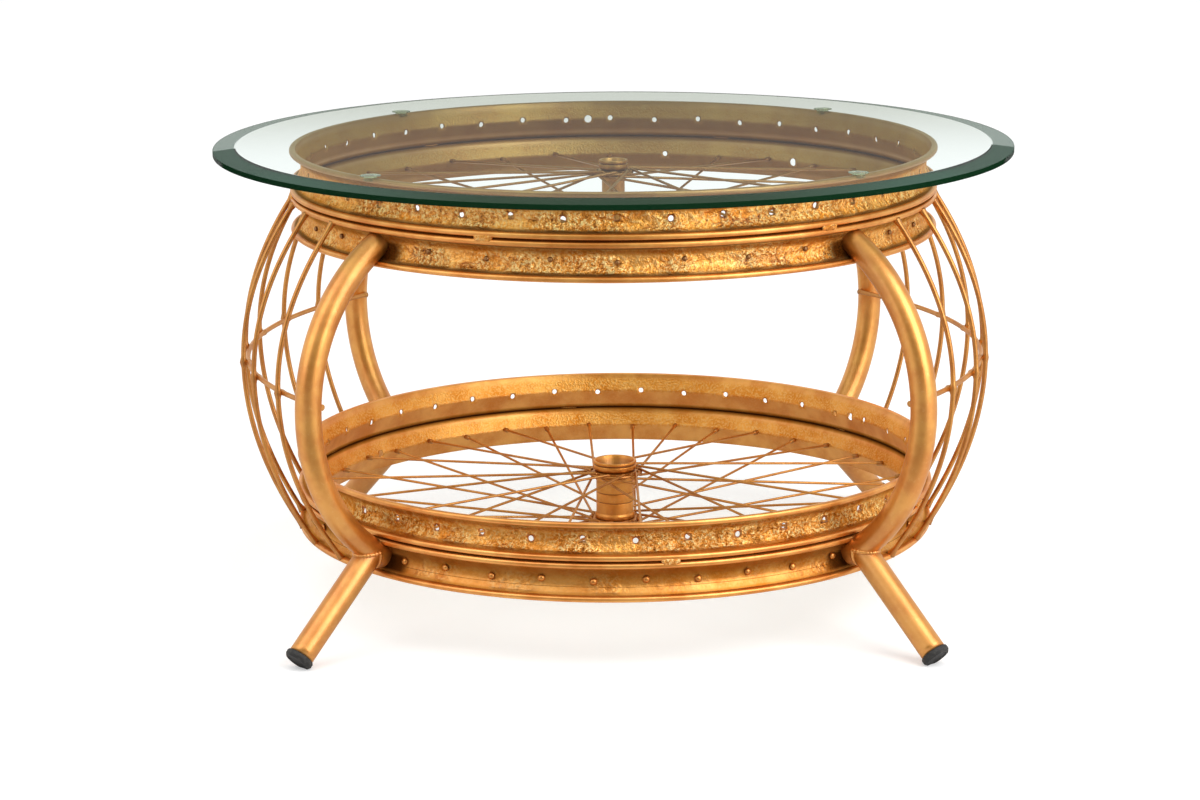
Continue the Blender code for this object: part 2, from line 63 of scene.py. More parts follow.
def smoothStep(value, low, high):
    # 3t^2 - 2t^3, with t the share of the way from low to high
    share = np.clip((value - low) / (high - low), 0.0, 1.0)
    return share * share * (3.0 - 2.0 * share)


def unit(vectors):
    # v / |v|
    return vectors / np.linalg.norm(vectors, axis=-1, keepdims=True)


def circle(count):
    # angles of points evenly spaced round a full turn
    return np.linspace(0.0, 2.0 * np.pi, count, endpoint=False)


def latticeNoise(points, seed):
    # random numbers at the corners of unit cells, blended by 3t^2 - 2t^3 along each axis, from -1 to 1
    cell = np.floor(points).astype(np.int64)
    share = points - cell
    share = share * share * (3.0 - 2.0 * share)
    total = np.zeros(points.shape[:-1])
    for corner in product((0, 1), repeat=3):
        key = (cell + corner) @ np.array([73856093, 19349663, 83492791]) + seed * 2654435761
        key = (key ^ (key >> 13)) * 1274126177
        key = (key ^ (key >> 16)) & 0xFFFF
        weight = np.prod(np.where(corner, share, 1.0 - share), axis=-1)
        total += weight * (key / 32767.5 - 1.0)
    return total


def gridFaces(rows, columns, closeRows, closeColumns):
    # quads between neighbours of a grid whose points are numbered row by row
    i = np.arange(rows if closeRows else rows - 1)[:, None]
    j = np.arange(columns if closeColumns else columns - 1)[None, :]
    nextRow = (i + 1) % rows * columns
    nextColumn = (j + 1) % columns
    corners = (i * columns + j, nextRow + j, nextRow + nextColumn, i * columns + nextColumn)
    return np.stack(np.broadcast_arrays(*corners), axis=-1).reshape(-1, 4)


def loft(rings, closed=False, **masks):
    # closed rings joined one to the next, with the first and last ring filled unless the loft closes
    rows, columns = rings.shape[:2]
    last = (rows - 1) * columns
    caps = [] if closed else [np.arange(columns), last + np.arange(columns)[::-1]]
    spread = {name: np.broadcast_to(value, (rows, columns)).reshape(-1) for name, value in masks.items()}
    return {"points": rings.reshape(-1, 3), "quads": gridFaces(rows, columns, closed, True),
            "caps": caps, **spread}


def turned(outline, columns, turn=None, closed=False, **masks):
    # (r, z) outline carried round an axis: (r cos a, r sin a, z), then moved by a 4 x 4 turn
    azimuth = np.linspace(0.0, 360.0, columns, endpoint=False)
    rings = polar(outline[:, :1], azimuth[None, :], outline[:, 1:2])
    if turn is not None:
        rings = rings @ turn[:3, :3].T + turn[:3, 3]
    masks = {name: np.reshape(value, (-1, 1)) for name, value in masks.items()}
    return loft(rings, closed, **masks)


def tangents(path, closed=False):
    # unit chord from the point before to the point after
    if closed:
        chord = np.roll(path, -1, axis=-2) - np.roll(path, 1, axis=-2)
    else:
        chord = np.gradient(path, axis=-2)
    return unit(chord)


def swept(path, radius, across, sides, closed=False):
    # rings p + r (n cos a + (t x n) sin a) along a path, where n is across made square to the tangent t
    tangent = tangents(path, closed)
    normal = unit(across - tangent * np.sum(tangent * across, axis=-1, keepdims=True))
    other = np.cross(tangent, normal)
    angle = circle(sides)[:, None]
    around = normal[..., None, :] * np.cos(angle) + other[..., None, :] * np.sin(angle)
    return path[..., None, :] + np.asarray(radius)[..., None, None] * around


def roundedOutline(corners, steps=filletSteps):
    # an open outline of (x, y, fillet) corners, each inner corner replaced by points on its fillet arc, with
    # its ends r / tan(w/2) and its centre r / sin(w/2) from the corner, where w is the corner's opening
    corners = np.array(corners)
    place = corners[:, :2]
    before = unit(place[:-2] - place[1:-1])
    after = unit(place[2:] - place[1:-1])
    opening = np.arccos(np.clip(np.sum(before * after, axis=1), -1.0, 1.0))
    fillet = corners[1:-1, 2]
    start = before * (fillet / np.tan(opening / 2))[:, None]
    end = after * (fillet / np.tan(opening / 2))[:, None]
    middle = unit(before + after) * (fillet / np.sin(opening / 2))[:, None]
    turn = (np.pi - opening)[:, None]
    share = np.linspace(0.0, 1.0, steps)[None, :]
    fromStart = (np.sin((1.0 - share) * turn) / np.sin(turn))[..., None]
    fromEnd = (np.sin(share * turn) / np.sin(turn))[..., None]
    arcs = middle[:, None] + fromStart * (start - middle)[:, None] + fromEnd * (end - middle)[:, None]
    arcs = arcs + place[1:-1, None]
    return np.concatenate([place[:1], arcs.reshape(-1, 2), place[-1:]])


def facingOut(shell):
    # the signed volume, the sum of a . (b x c + c x d) / 6 over the quads, tells which way the faces point
    points = shell["points"] - shell["points"].mean(axis=0)
    a, b, c, d = np.moveaxis(points[shell["quads"]], 1, 0)
    if np.sum(a * (np.cross(b, c) + np.cross(c, d))) < 0.0:
        shell["quads"] = shell["quads"][:, ::-1]
        shell["caps"] = [cap[::-1] for cap in shell["caps"]]
    return shell


def placed(name, data, matrix=None):
    # a new object in the scene
    made = bpy.data.objects.new(name, data)
    bpy.context.scene.collection.objects.link(made)
    if matrix is not None:
        made.matrix_world = matrix
    return made


def newPiece(name, shells, material, nodes, body="stand", sharp=None):
    # one mesh of several shells, with smooth sides and flat caps, in the place of the named solids
    points, faces, flat, count = [], [], [], 0
    for shell in map(facingOut, shells):
        points.append(shell["points"])
        faces += (shell["quads"] + count).tolist()
        faces += [(cap + count).tolist() for cap in shell["caps"]]
        flat += [False] * len(shell["quads"]) + [True] * len(shell["caps"])
        count += len(shell["points"])
    mesh = bpy.data.meshes.new(name)
    mesh.from_pydata(np.concatenate(points).tolist(), [], faces)
    mesh.polygons.foreach_set("use_smooth", np.logical_not(flat))
    if sharp:
        mesh.set_sharp_from_angle(angle=math.radians(sharp))
    for mask in maskNames:
        values = [np.broadcast_to(shell.get(mask, 0.0), len(shell["points"])) for shell in shells]
        layer = mesh.attributes.new(mask, "FLOAT", "POINT")
        layer.data.foreach_set("value", np.concatenate(values).astype(np.float32))
    mesh.materials.append(material)
    piece = placed(name, mesh)
    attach(piece, body)
    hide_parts(*nodes)


# Materials

class Shade:
    # one socket of a node tree; arithmetic on it adds Math nodes, and node() adds any other kind
    def __init__(self, tree, socket=None):
        self.tree = tree
        self.socket = socket

    def fill(self, inputs, values):
        # a Shade is linked to its socket and a plain value set on it; colours are given without their alpha
        for name, value in values.items():
            if isinstance(value, Shade):
                self.tree.links.new(value.socket, inputs[name])
            elif inputs[name].type == "RGBA":
                inputs[name].default_value = (*value, 1.0)
            else:
                inputs[name].default_value = value

    def node(self, kind, settings=None, sockets=None, output=0):
        made = self.tree.nodes.new("ShaderNode" + kind)
        for name, value in (settings or {}).items():
            setattr(made, name, value)
        self.fill(made.inputs, sockets or {})
        return Shade(self.tree, made.outputs[output])

    def math(self, operation, first, second=0.0):
        return self.node("Math", {"operation": operation}, {0: first, 1: second})

    def __add__(self, other):
        return self.math("ADD", self, other)

    def __sub__(self, other):
        return self.math("SUBTRACT", self, other)

    def __rsub__(self, other):
        return self.math("SUBTRACT", other, self)

    def __mul__(self, other):
        return self.math("MULTIPLY", self, other)

    __radd__, __rmul__ = __add__, __mul__

    def most(self, other):
        return self.math("MAXIMUM", self, other)

    def between(self, low, high):
        # 0 up to low, 1 from high, smooth between them
        return self.node("MapRange", {"interpolation_type": "SMOOTHSTEP"},
                         {"Value": self, "From Min": low, "From Max": high})

    def blend(self, first, second):
        # colours mixed by this value
        return self.node("Mix", {"data_type": "RGBA"}, {0: self, 6: first, 7: second}, 2)

    def shaders(self, first, second):
        # shaders mixed by this value
        return self.node("MixShader", {}, {0: self, 1: first, 2: second})

    def mask(self, name):
        return self.node("Attribute", {"attribute_name": name}, output="Fac")

    def place(self):
        return self.node("TexCoord", output="Object")

    def noise(self, size, detail=2.0, rough=0.5, flatter=1.0):
        # cloudy pattern whose patches are about size metres wide, and less high by the given factor
        place = self.node("VectorMath", {"operation": "MULTIPLY"},
                          {0: self.place(), 1: (1.0, 1.0, flatter)})
        return self.node("TexNoise", {"noise_dimensions": "3D"},
                         {"Vector": place, "Scale": 1.0 / size, "Detail": detail, "Roughness": rough})

    def axis(self, name):
        # X, Y or Z in metres from the middle of the floor under the table
        return self.node("SeparateXYZ", {}, {"Vector": self.place()}, name)

    def ray(self, kind):
        return self.node("LightPath", output=kind)

    def bump(self, height, depth, under=None):
        sockets = {"Height": height, "Distance": depth}
        if under:
            sockets["Normal"] = under
        return self.node("Bump", {}, sockets)


def newMaterial(name):
    material = bpy.data.materials.new(name)
    material.use_nodes = True
    return material, Shade(material.node_tree)


def setShader(material, values):
    tree = material.node_tree
    Shade(tree).fill(tree.nodes["Principled BSDF"].inputs, values)


tubeFinish = {
    "deep": (0.67, 0.232, 0.022),
    "light": (0.82, 0.370, 0.060),
    "fleck": (0.90, 0.52, 0.17),
    "fleckShare": 0.3,
    # colour of dirt and painted shade
    "grime": (0.16, 0.045, 0.005),
    "underGlassShade": (0.19, 0.155, 0.070),
    "underGlassShadeShare": 0.0,            # painted shade of the glass: greyer under it
    "underGlassShadeHeights": (0.30, 0.34),
    "edge": (1.0, 0.74, 0.42),
    "metallic": 0.9,
    "roughness": 0.33,
    "coat": 0.72,
    "coatRoughness": 0.30,
    "coatIor": 1.75,
    "cloud": 0.030,              # sizes of the patterns in metres
    "cloudRange": (0.3, 0.7),
    "fleckSize": 0.00352,
    "fleckRange": (0.55, 0.8),
    "peel": 0.0016,
    "peelDepth": 0.00007,
    "peelRough": 0.08,           # what the skin and the mask of dirt and painted shade add to the roughness
    "grimeRough": 0.2,
}


def goldPaint(name, look):
    # satin gold lacquer over smooth steel, a little cloudy, with an orange-peel skin
    material, shade = newMaterial(name)
    grime = shade.mask("grime")
    cloud = shade.noise(look["cloud"], 3.0, 0.6).between(*look["cloudRange"])
    peel = shade.noise(look["peel"], 2.0)
    fleck = shade.noise(look["fleckSize"], 2.0, 0.7).between(*look["fleckRange"])
    colour = cloud.blend(look["deep"], look["light"])
    colour = (look["fleckShare"] * fleck).blend(colour, look["fleck"])
    # greyer above a height, under the glass: painted shade of the glass
    if look["underGlassShadeShare"]:
        under = shade.axis("Z").between(*look["underGlassShadeHeights"])
        colour = (look["underGlassShadeShare"] * under).blend(colour, look["underGlassShade"])
    # darkened where the mask says: painted shade at joints and grooves, and darker welds
    colour = grime.blend(colour, look["grime"])
    setShader(material, {
        "Base Color": colour,
        "Metallic": look["metallic"],
        "Roughness": look["roughness"] + look["peelRough"] * peel + look["grimeRough"] * grime,
        "Specular Tint": look["edge"],
        "Coat Weight": look["coat"],
        "Coat Roughness": look["coatRoughness"],
        "Coat IOR": look["coatIor"],
        "Normal": shade.bump(peel, look["peelDepth"]),
    })
    return material


rimFinish = {
    "deep": (0.71, 0.232, 0.020),
    "light": (0.92, 0.425, 0.090),
    "brown": (0.44, 0.145, 0.014),
    "brownShare": 0.35,
    # dark brown in the low spots of the dents: pitting, and painted shade in the hollows
    "pitShade": (0.14, 0.038, 0.003),
    "pitShadeShare": 0.72,
    # bright cream on the crests of the dents: painted glints
    "crestGlint": (1.0, 0.78, 0.34),
    "crestGlintShare": 0.9,
    # lighter sand colour, full on the hub side's upper half: real grain with painted light from above
    "litSand": (0.92, 0.55, 0.19),
    "litSandShare": 0.6,
    # colour of dirt and painted shade
    "grime": (0.11, 0.030, 0.003),
    "underGlassShade": (0.19, 0.155, 0.070),
    "underGlassShadeShare": 0.62,           # painted shade of the glass: greyer under it, on the hub side and on the top lip
    "underGlassShadeHeights": (0.30, 0.34),
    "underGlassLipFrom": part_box("upper_top_rim")[1].z - 5.0 * mm,
    "underGlassLipFade": 8.0 * mm,
    "edge": (1.0, 0.74, 0.42),
    "metallic": 0.9,
    "coat": 0.60,
    "coatRoughness": 0.30,
    "coatIor": 1.8,
    "coatLost": (0.78, 0.95, 2.0),       # share of the coat lost where the paint is beaten, sandy, or darkened by dirt and painted shade
    "roughness": 0.34,
    "roughGains": (0.10, 0.08, 0.25),    # what the hub side, the grain and the mask of dirt and painted shade add to the roughness
    "beatenShine": 0.04,
    "cloud": 0.035,                      # sizes of the patterns in metres
    "cloudRange": (0.3, 0.7),
    "patch": 0.045,
    "patchRange": (0.40, 0.58),
    "leastBeating": 0.4,
    "streak": 0.030,
    "streakFlatter": 7.0,
    "streakRange": (0.50, 0.70),
    "dent": 0.0056,
    "wrinkle": 0.0027,
    "grain": 0.0021,
    "litSandRange": (0.42, 0.68),
    "crestGlintRanges": ((0.43, 0.58), (0.38, 0.56)),     # painted glints on high wrinkles over high dents
    "pitShadeRanges": ((0.30, 0.44), (0.30, 0.46)),       # low wrinkles and low dents are pitted, and darkened as painted shade
    "wrinklePitShade": 0.8,
    "dentDepth": 0.0046,
    "wrinkleDepth": 0.5,                 # depths as a share of the dents'
    "streakDepth": 0.12,
    "grainDepth": 0.0006,
    "leastGrain": 0.1,
}


def rimPaint(name, look):
    # gold lacquer: smooth on the lips; beaten in the tyre channel, with painted glints on the crests and
    # painted shade in the pits; sandy on the hub side, with painted light on its upper half
    material, shade = newMaterial(name)
    channel = shade.mask("hammer")
    inside = shade.mask("inside")
    grime = shade.mask("grime")
    patch = shade.noise(look["patch"], 2.0).between(*look["patchRange"])
    hammer = channel * (look["leastBeating"] + (1.0 - look["leastBeating"]) * patch)
    streak = shade.noise(look["streak"], 3.0, 0.6, look["streakFlatter"])
    cloud = shade.noise(look["cloud"], 3.0, 0.6).between(*look["cloudRange"])
    dent = shade.noise(look["dent"], 3.0, 0.65)
    wrinkle = shade.noise(look["wrinkle"], 2.0, 0.6)
    grain = shade.noise(look["grain"], 1.0)
    highWrinkle, highDent = look["crestGlintRanges"]
    lowWrinkle, lowDent = look["pitShadeRanges"]
    # painted glints on the crests of the dents, and pitting with painted shade in their hollows
    crestGlint = wrinkle.between(*highWrinkle) * dent.between(*highDent)
    pitShade = (1.0 - dent.between(*lowDent)) + look["wrinklePitShade"] * (1.0 - wrinkle.between(*lowWrinkle))
    colour = cloud.blend(look["deep"], look["light"])
    brown = look["brownShare"] * channel * streak.between(*look["streakRange"])
    colour = brown.blend(colour, look["brown"])
    # lighter sand on the hub side, mostly on its upper half: painted light over the real grain
    colour = (look["litSandShare"] * inside * grain.between(*look["litSandRange"])).blend(colour, look["litSand"])
    colour = (look["pitShadeShare"] * hammer * pitShade).blend(colour, look["pitShade"])
    colour = (look["crestGlintShare"] * hammer * crestGlint).blend(colour, look["crestGlint"])
    # greyer under the glass, on the hub side and the top lip: painted shade of the glass
    height = shade.axis("Z")
    under = inside.between(0.0, 0.15) * height.between(*look["underGlassShadeHeights"])
    under = under.most(height.between(look["underGlassLipFrom"] - look["underGlassLipFade"], look["underGlassLipFrom"]))
    colour = (look["underGlassShadeShare"] * under).blend(colour, look["underGlassShade"])
    # darkened where the mask says: painted shade in slits, undercuts, creases and beside the legs, and
    # darker welds and seams
    colour = grime.blend(colour, look["grime"])
    dentHeight = hammer * (dent + look["wrinkleDepth"] * wrinkle) + look["streakDepth"] * channel * streak
    grainHeight = (look["leastGrain"] + (1.0 - look["leastGrain"]) * inside) * grain
    beatenLoss, sandyLoss, darkenedLoss = look["coatLost"]
    coated = 1.0 - beatenLoss * channel - sandyLoss * inside - darkenedLoss * grime
    sandyGain, grainGain, darkenedGain = look["roughGains"]
    rough = look["roughness"] + sandyGain * inside + grainGain * grain
    setShader(material, {
        "Base Color": colour,
        "Metallic": look["metallic"],
        "Roughness": rough - look["beatenShine"] * hammer + darkenedGain * grime,
        "Specular Tint": look["edge"],
        "Coat Weight": (look["coat"] * coated).most(0.0),
        "Coat Roughness": look["coatRoughness"],
        "Coat IOR": look["coatIor"],
        "Normal": shade.bump(dentHeight, look["dentDepth"], shade.bump(grainHeight, look["grainDepth"])),
    })
    return material


# spokes and hubs greyed under the glass as painted shade
spokeFinish = dict(tubeFinish, deep=(0.56, 0.190, 0.018), light=(0.72, 0.300, 0.045), coat=0.5,
                   underGlassShadeShare=0.5)
hubFinish = dict(tubeFinish, coat=0.4, underGlassShadeShare=0.5)
wireFinish = dict(tubeFinish, deep=(0.50, 0.175, 0.017), light=(0.66, 0.285, 0.045), coat=0.6)

capFinish = {"dark": (0.012, 0.011, 0.010), "worn": (0.045, 0.042, 0.036), "roughness": 0.55,
             "grain": 0.0009, "grainDepth": 0.0002, "grainRough": 0.15, "scuff": 0.006}


def capRubber(look):
    # matt black moulded plastic with a fine spark-eroded grain
    material, shade = newMaterial("black_moulded_cap")
    grain = shade.noise(look["grain"], 2.0)
    scuff = shade.noise(look["scuff"], 3.0, 0.7).between(0.45, 0.75)
    setShader(material, {
        "Base Color": scuff.blend(look["dark"], look["worn"]),
        "Roughness": look["roughness"] + look["grainRough"] * grain,
        "Normal": shade.bump(grain, look["grainDepth"]),
    })
    return material


glassFinish = {
    "tint": (0.94, 0.972, 0.960),
    "darkerTint": (0.76, 0.785, 0.745),
    "darkerTowardBack": (-0.20, 0.35),  # from the clear front to the darker, greyer back
    "smear": (0.05, 0.1),        # size and share of the smears
    "lampTint": (0.80, 0.85, 0.80),
    "ior": 1.5,
    "mirror": 0.10,              # share of the full mirror image that a wiped, lacquer-dusted top keeps
    "bevelBody": (0.034, 0.060, 0.038),
    "sideBodyAndReflection": (0.075, 0.130, 0.102),
    "sideReach": (0.08, 0.36),   # how far from the middle plane the bevel turns paler, as painted reflection
    "edgeBody": (0.003, 0.020, 0.007),
    "bevelShare": 0.72,          # how much of the green body shows in the bevel, and more in the edge
    "edgeShare": 0.25,
    "grazing": (0.775, 0.81),    # slant of view from which the far bevel is clear
    "bevelRadii": (377.2 * mm, 378.4 * mm),
    "edgeRadii": (399.0 * mm, 399.6 * mm),
    "polish": 0.02,
}


def clearGlass(look):
    # float glass that bends what is under it, with its green body showing in the bevel and the edge; lamp
    # light goes straight through it with a light tint
    material, shade = newMaterial("green_edged_glass")
    tree = material.node_tree
    smearSize, smearShare = look["smear"]
    haze = smearShare * shade.noise(smearSize, 4.0, 0.6).between(0.5, 0.9)
    haze = haze.most(shade.axis("Y").between(*look["darkerTowardBack"]))
    facing = shade.node("LayerWeight", {}, {"Blend": 0.5}, "Facing")
    level = shade.node("VectorMath", {"operation": "MULTIPLY"}, {0: shade.place(), 1: (1.0, 1.0, 0.0)})
    radius = shade.node("VectorMath", {"operation": "LENGTH"}, {0: level}, "Value")
    bevel = radius.between(*look["bevelRadii"])
    edge = radius.between(*look["edgeRadii"])
    fresh, stale = (shade.node("BsdfRefraction", {}, {
        "Color": look[name], "Roughness": 0.0, "IOR": look["ior"]}) for name in ("tint", "darkerTint"))
    mirror = shade.node("BsdfGlossy", {}, {"Color": (1.0, 1.0, 1.0), "Roughness": look["polish"]})
    fresnel = shade.node("Fresnel", {}, {"IOR": look["ior"]})
    clear = (look["mirror"] * fresnel).shaders(haze.shaders(fresh, stale), mirror)
    aside = shade.math("ABSOLUTE", shade.axis("X"))
    # the bevel paler at the left and right: painted reflection
    bodyColour = aside.between(*look["sideReach"]).blend(look["bevelBody"], look["sideBodyAndReflection"])
    setShader(material, {"Base Color": edge.blend(bodyColour, look["edgeBody"]), "Roughness": 0.5,
                         "Specular IOR Level": 0.0})
    body = Shade(tree, tree.nodes["Principled BSDF"].outputs[0])
    cover = look["bevelShare"] * bevel * (1.0 - facing.between(*look["grazing"])) + look["edgeShare"] * edge
    lamp = shade.node("BsdfTransparent", {}, {"Color": look["lampTint"]})
    thrown = shade.ray("Is Glossy Ray") - shade.ray("Is Transmission Ray")
    straight = shade.ray("Is Shadow Ray").most(shade.ray("Is Diffuse Ray")).most(thrown)
    final = straight.shaders(cover.shaders(clear, body), lamp)
    tree.links.new(final.socket, tree.nodes["Material Output"].inputs["Surface"])
    return material


bumperFinish = {"tint": (0.62, 0.66, 0.42), "darkerTint": (0.50, 0.60, 0.36), "haze": 0.004, "roughness": 0.10,
                "hazeRough": 0.1, "clear": 0.94, "ior": 1.41}


def bumperSilicone(look):
    # soft clear silicone, a little yellow-green
    material, shade = newMaterial("clear_silicone")
    haze = shade.noise(look["haze"], 2.0)
    setShader(material, {
        "Base Color": haze.blend(look["tint"], look["darkerTint"]),
        "Roughness": look["roughness"] + look["hazeRough"] * haze,
        "Transmission Weight": look["clear"],
        "IOR": look["ior"],
    })
    return material


goldTube = goldPaint("gold_on_tube", tubeFinish)
goldRim = rimPaint("gold_on_rim", rimFinish)
goldSpoke = goldPaint("gold_on_spokes", spokeFinish)
goldHub = goldPaint("gold_on_hubs", hubFinish)
goldWire = goldPaint("gold_on_wires", wireFinish)
blackCap = capRubber(capFinish)
glassClear = clearGlass(glassFinish)
siliconeClear = bumperSilicone(bumperFinish)
print("materials made")


# Rims

rimShape = {
    "depth": 11.0 * mm,          # lip to bed, on the tyre side
    "lipDepth": 5.6 * mm,        # lip to the root of the rolled bead
    "lipHeight": 5.6 * mm,
    "curl": 1.10 * mm,           # how far the inner half of a lip closes the slit to the next rim
    "bedFlat": 3.0 * mm,         # half width of the level bed
    "spine": 13.2 * mm,          # lip to the crease on the hub side
    "columns": 960,
    "rowStep": 1.75 * mm,
    "channelRows": 6,            # rows each side of the middle, in the channel
    "patch": 6,                  # grid cells across the patch round a hole
    "holeRadius": 2.7 * mm,
    "valveRadius": 4.1 * mm,
    "stagger": 1.0 * mm,
    "channelCurve": 1.3,
    "scribe": -6.2 * mm,         # height of the line scribed in a channel
    "legAt": 45.0,               # azimuth of the first leg, with the next in mirror image
    "contactShadow": (2.2, 1.8, 5.0),  # degrees from a leg to the middle of its painted contact shadow, then the fade's ends
    "scribeHalf": 0.3 * mm,
    "lipStart": 4.0 * mm,        # lip's first point on the hub side, down from its top
    "hubRows": (7.5 * mm, 10.5 * mm),
    "smooth": (0.5, 2.0 * mm, 7.0 * mm),         # beating lost towards the upper lip, from and to a height
    "sandyLip": (0.2, 3.0 * mm),                 # sandy share of a lip, from a depth behind the rim's edge
    "upperEdgeShade": (0.55, 3.5 * mm, 9.0 * mm),     # painted shade in the channel under the upper lip, from and to a height
    # painted shade in the channel just above the lower lip
    "lowerEdgeShade": (0.25, 9.2 * mm, 11.0 * mm),
    "shadeUnderLipRange": (0.45, 0.75, 5.0 * mm),         # share of a rim's painted shade low down, its gain up under the upper lip, half the height
    "crease": 1.0 * mm,          # half height over which the hub side turns from its shaded lower half to its lit, sandy upper half
    "dents": ((0.55, 7.0 * mm), (0.75, 3.6 * mm)),   # share and size of the coarse and fine dents
    "midRing": 0.45,             # place of the ring of points between a hole and its patch's edge
    "fullBeating": 0.5,          # dent from which a channel's paint is beaten all over
}
# rolled lip from the hub side, as (depth in from the rim's edge, drop from its top, fillet, painted shade in
# the lip's undercuts and root, share of the curl, painted shade that a curl adds in the slit)
lipCorners = np.array([
    (6.14, 0.75, 0.1, 0.1, 1.0, 0.9),
    (5.6, 0.45, 0.5, 0.0, 1.0, 1.0),
    (3.3, 0.05, 0.3, 0.0, 1.0, 1.0),
    (2.6, 0.02, 0.2, 0.0, 0.0, 0.9),
    (0.0, 0.0, 2.3, 0.0, 0.0, 0.0),
    (0.0, 5.3, 2.3, 0.0, 0.0, 0.0),
    (5.4, 5.6, 0.9, 0.55, 0.0, 0.0),
]) * (mm, mm, mm, 1.0, 1.0, 1.0)
lipSeam = {"drop": 2.65 * mm, "width": 0.45 * mm, "depth": 0.3 * mm, "darkening": 0.22, "steps": 5}
# per rim, the shares of painted shade: under the glass on the hub side's lower half, in the channel most
# under the upper lip, and beside the legs
rims = {
    "upper_top_rim": {"holes": 40, "clocking": -4.2, "valve": 11, "laced": False, "dent": 0.60, "seed": 3,
                      "underGlassShade": 0.35, "shadeUnderLip": 0.0, "scribe": 0.0, "contactShadow": 0.0},
    "upper_spoked_rim": {"holes": 32, "clocking": 6.0, "valve": 4, "laced": True, "dent": 0.60, "seed": 5,
                         "underGlassShade": 0.35, "shadeUnderLip": 0.0, "scribe": 0.0, "contactShadow": 1.0, "empty": 6},
    "lower_top_rim": {"holes": 40, "clocking": 7.7, "valve": 3, "laced": False, "dent": 0.52, "seed": 7,
                      "underGlassShade": 0.0, "shadeUnderLip": 0.25, "scribe": 0.0, "contactShadow": 0.4},
    "lower_spoked_rim": {"holes": 40, "clocking": 0.5, "valve": 16, "laced": True, "dent": 0.14, "seed": 9,
                         "underGlassShade": 0.0, "shadeUnderLip": 0.54, "scribe": 0.75, "contactShadow": 1.0},
}
for rimName, rim in rims.items():
    low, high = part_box(rimName)
    rim["middle"] = (low.z + high.z) / 2
    rim["half"] = (high.z - low.z) / 2
rimRadius = 324.5 * mm
rimHalf = rims["upper_top_rim"]["half"]


def channelRadius(height):
    # bed of the tyre channel, rising from a level middle to the lip's root: bed + rise t^1.3
    shape = rimShape
    share = (np.abs(height) - shape["bedFlat"]) / (rimHalf - shape["lipHeight"] - shape["bedFlat"])
    rise = np.clip(share, 0.0, 1.0) ** shape["channelCurve"]
    return rimRadius - shape["depth"] + (shape["depth"] - shape["lipDepth"]) * rise


def hubSideRadius(height):
    # two flat slopes that meet in a crease at the middle plane
    shape = rimShape
    return rimRadius - shape["spine"] + (shape["spine"] - shape["lipDepth"]) * np.abs(height) / rimHalf


def tyreSideRadius(height):
    # outermost radius at a height: the channel between the lips, and the lips themselves
    inChannel = np.abs(height) < rimHalf - rimShape["lipHeight"]
    return np.where(inChannel, channelRadius(height), rimRadius)


def rimLip(curl, firstRow):
    # one lip from the hub side round to the channel, with painted shade in its undercuts and a darker seam
    # line; a curled lip is painted dark in the slit as shade
    start = rimHalf - rimShape["lipStart"]
    corners = np.concatenate([
        [(hubSideRadius(start), start, 0.0)],
        np.column_stack([rimRadius - lipCorners[:, 0], rimHalf - lipCorners[:, 1] + curl * lipCorners[:, 4],
                         lipCorners[:, 2]]),
        [(channelRadius(firstRow), firstRow, 0.0)],
    ])
    outline = roundedOutline(corners, lipSeam["steps"])[:-1]
    darkening = lipCorners[:, 3] + lipCorners[:, 5] * (curl > 0.0)
    darkening = np.concatenate([[0.0], np.repeat(darkening, lipSeam["steps"])])
    fromSeam = (rimHalf - outline[:, 1] - lipSeam["drop"]) / lipSeam["width"]
    seam = lipSeam["darkening"] * np.exp(-fromSeam ** 2) * (outline[:, 0] > rimRadius - lipSeam["depth"])
    return outline, np.maximum(darkening, seam)


